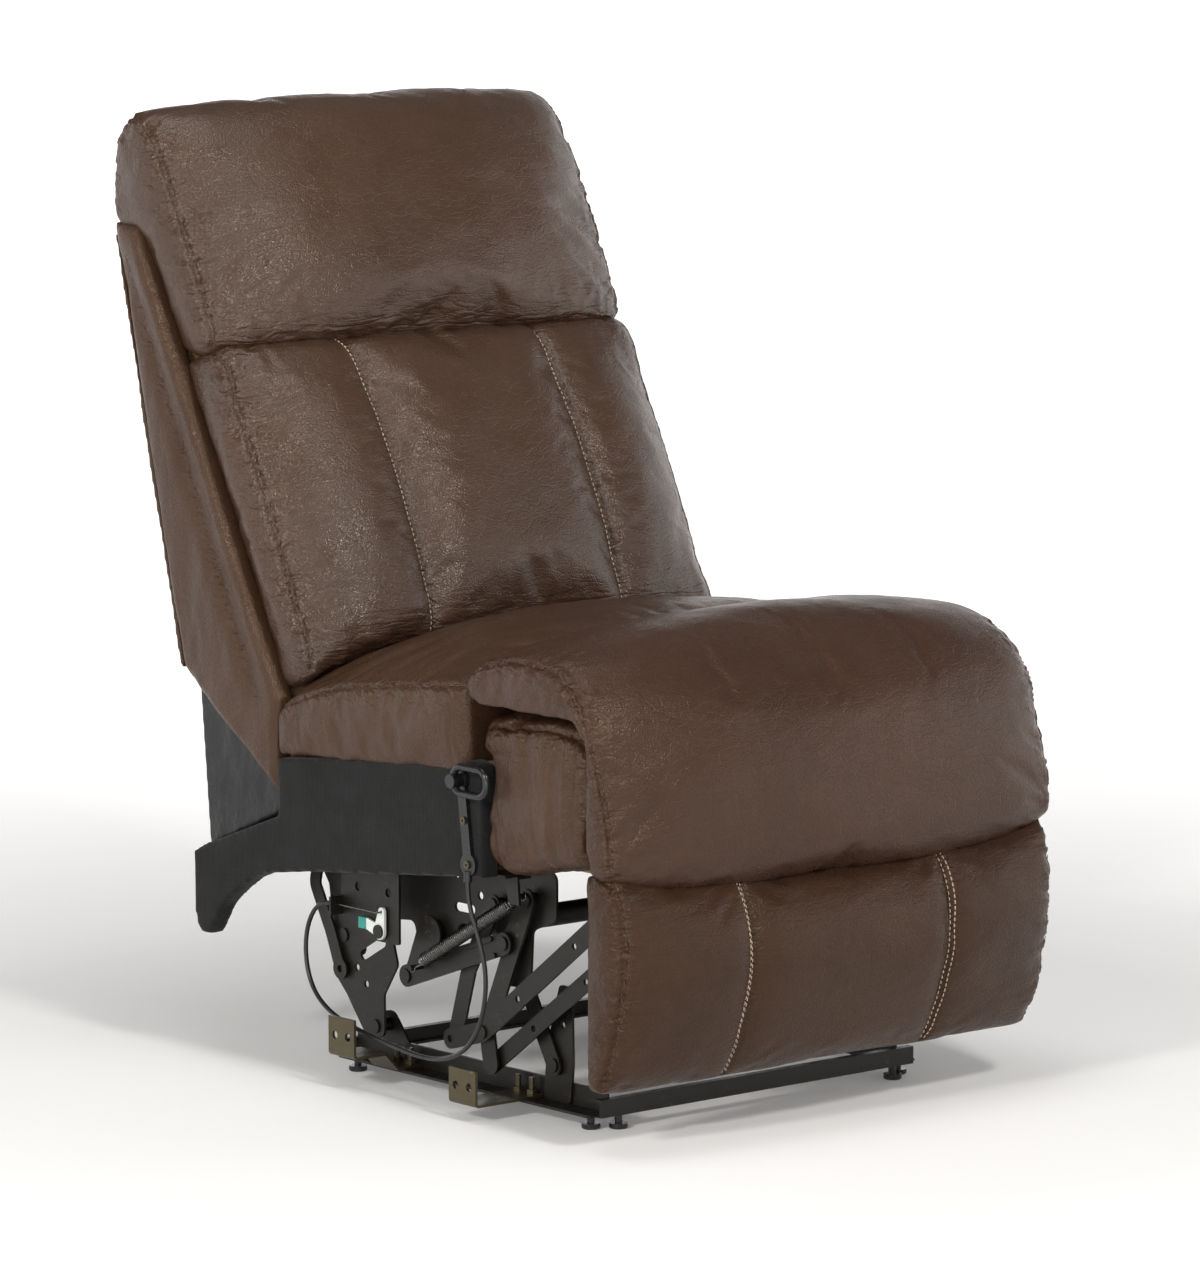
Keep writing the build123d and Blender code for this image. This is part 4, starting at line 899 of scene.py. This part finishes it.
def on_rails(places):
    """The seat cushion's underside and its upright ends."""
    line = 0.349 + (0.147 - places[:, 1]) * (0.021 / 0.33)
    return (places[:, 2] < line + 0.005) | (places[:, 1] < -0.178) | (places[:, 1] > 0.143)


seat = soft("seat_pillow", "seat_cushion", "seat", 0.308, seat_side, seat_middle, (0, 1, 5, 6), on_rails, brown_side,
            edge=0.008, slack=0.01, cap=0.016)
unevenness(seat, (0.03, 0.016, 0.05), 0.0009, 61)
sewn(seat, side_route([(140, 410), (127, 414), (39, 441), (-70, 456), (-178, 467)], 0.306), "seat", seed=62,
     reach=0.02, height=0.001, depth=0.0022)
for sign in (-1, 1):
    for y, depth, width in ((-0.171, 0.003, 0.0022), (-0.158, 0.0022, 0.002)):
        groove(seat, [(sign * 0.308, y, 0.376), (sign * 0.308, y, 0.462)], depth, width)
core_line = [(-187, 431), (-366, 425), (-368, 304), (-304, 279), (-205, 277.4), (-205, 387.5), (-187, 387.5)]
core = soft("core_pillow", "front_core_pad", "seat", 0.300, core_line, core_line, (0, 5, 6),
            lambda p: p[:, 2] < 0.29, brown_side, edge=0.02, cap=0.009)
unevenness(core, (0.05, 0.013, 0.10), 0.0024, 71)
sewn(core, side_route([(-205, 430), (-350, 427), (-362, 415), (-366, 370), (-364, 310)], 0.292), "seat", seed=72,
     reach=0.03, height=0.0018, stitches=False)
roll_side = [(-187, 447), (-187, 479), (-232, 499), (-329, 499), (-378, 461), (-406, 392), (-424, 308), (-412, 286),
             (-382, 288), (-382, 428), (-362, 450)]
roll_middle = [(-187, 434.6), (-187, 504), (-240, 526), (-320, 531), (-392, 500), (-430, 430), (-446, 340),
               (-428, 261), (-372.1, 270), (-372.1, 434), (-360, 437)]
# the roll in the darker copy of the leather: painted shade
roll = soft("roll_pillow", "front_roll", "seat", 0.317, roll_side, roll_middle, (0, 1, 8, 9, 10),
            lambda p: ((p[:, 1] > -0.376) & (p[:, 2] < 0.44)) | (p[:, 1] > -0.191), brown_roll_painted_shade, slack=0.004,
            edge=0.011, bulge=0.003)
unevenness(roll, (0.09, 0.05, 0.05), 0.0012, 81)
sewn(roll, side_route([(-195, 484), (-232, 498), (-285, 504), (-329, 498), (-360, 478), (-382, 446), (-404, 392),
                       (-420, 335), (-420, 300)], 0.311), "seat", seed=82, reach=0.02)

# ---- footrest pad, and its board in the same leather: its darkest copy, painted shade ----
pad_side = [(-368.3, 62), (-368.3, 292), (-416, 292), (-434, 211), (-424, 137), (-396, 62)]
pad_middle = [(-368.3, 62), (-368.3, 270), (-424, 272), (-460, 205), (-444, 130), (-404, 62)]
pad = soft("footrest_pillow", "footrest_pad", "footrest", 0.309, pad_side, pad_middle, (0, 1),
           lambda p: p[:, 1] > -0.373, brown_low_painted_shade, channels=(0.140,), slack=0.004, edge=0.009, wrap=(-0.3683, -0.3565))
unevenness(pad, (0.08, 0.05, 0.04), 0.001, 91)
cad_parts["footrest_board"].material_slots[0].material = brown_low_painted_shade
sewn(pad, side_route([(-400, 288), (-417, 284), (-431, 245), (-434, 211), (-431, 175), (-424, 137), (-410, 95),
                      (-398, 68)], 0.304), "footrest", seed=92)
tree = tree_of(pad)
pad_routes = [cast(tree, [(x, -0.6, z / 1000) for z in range(66, 282, 4)], (0, 1, 0)) for x in (-0.140, 0.140)]
topstitched(pad, pad_routes, "footrest")

# ---- webbing ----
for node, body in (("seat_webbing", "seat"), ("back_webbing", "back")):
    piece = from_node(node + "_straps", node, body, web_black, 0.0016, turns=1)
    places = coordinates(piece)
    places += normals(piece) * (0.00025 * ripple(places, (0.006, 0.006, 0.006), 95, 1))[:, None]
    set_coordinates(piece, places)

# ---- covered side rails ----
for sign, side in SIDES:
    rail = from_node(f"{side}_rail_cover", f"{side}_side_rail", "seat", black_cloth, 0.004, turns=3)
    places = coordinates(rail)
    places[:, 0] += sign * 0.0007 * ripple(places, (1, 0.05, 0.03), 97 + sign, 3) * (np.abs(places[:, 0]) > 0.296)
    set_coordinates(rail, places)

# ---- tension springs: places (y, z) in metres of their two pins ----
HOOK = np.array((-0.023, 0.137))
ANCHOR = np.array((-0.208, 0.240))
HOOK_RADIUS = 0.0045
HOOK_START = -2.6       # where a hook's turn begins, in radians
COIL_RADIUS = 0.0068
WIRE_RADIUS = 0.00095
TURNS = 56
LEAD = 0.016            # from a pin to the first turn
reach = ANCHOR - HOOK
span = np.linalg.norm(reach)
way = reach / span
across = np.array((-way[1], way[0]))


def hook(x, pin, toward, angles):
    """Points of an end hook about its pin."""
    return [(x, *(pin + way * (toward * HOOK_RADIUS) * sin(angle) + across * HOOK_RADIUS * cos(angle)))
            for angle in angles]


for sign, side in SIDES:
    x = sign * 0.250
    line = hook(x, HOOK, 1, np.linspace(HOOK_START, pi / 2, 15)[:-1])
    for step in np.linspace(0, 1, TURNS * 14 + 1):
        angle = 2 * pi * TURNS * step
        size = COIL_RADIUS * min(1.0, 0.35 + 14 * step, 0.35 + 14 * (1 - step))
        place = HOOK + way * (LEAD + (span - 2 * LEAD) * step) + across * size * cos(angle)
        line.append((x + size * sin(angle), *place))
    line += hook(x, ANCHOR, -1, np.linspace(pi / 2, HOOK_START, 15)[1:])
    spring = tube(f"{side}_tension_spring", line, WIRE_RADIUS, "spring", steel_spring, 7)
    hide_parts("tension_springs")
    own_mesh(spring)

# ---- cable ----
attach(cable, "seat")
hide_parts("release_cable")
cable.data.materials.append(black_jacket)

bpy.context.view_layer.update()
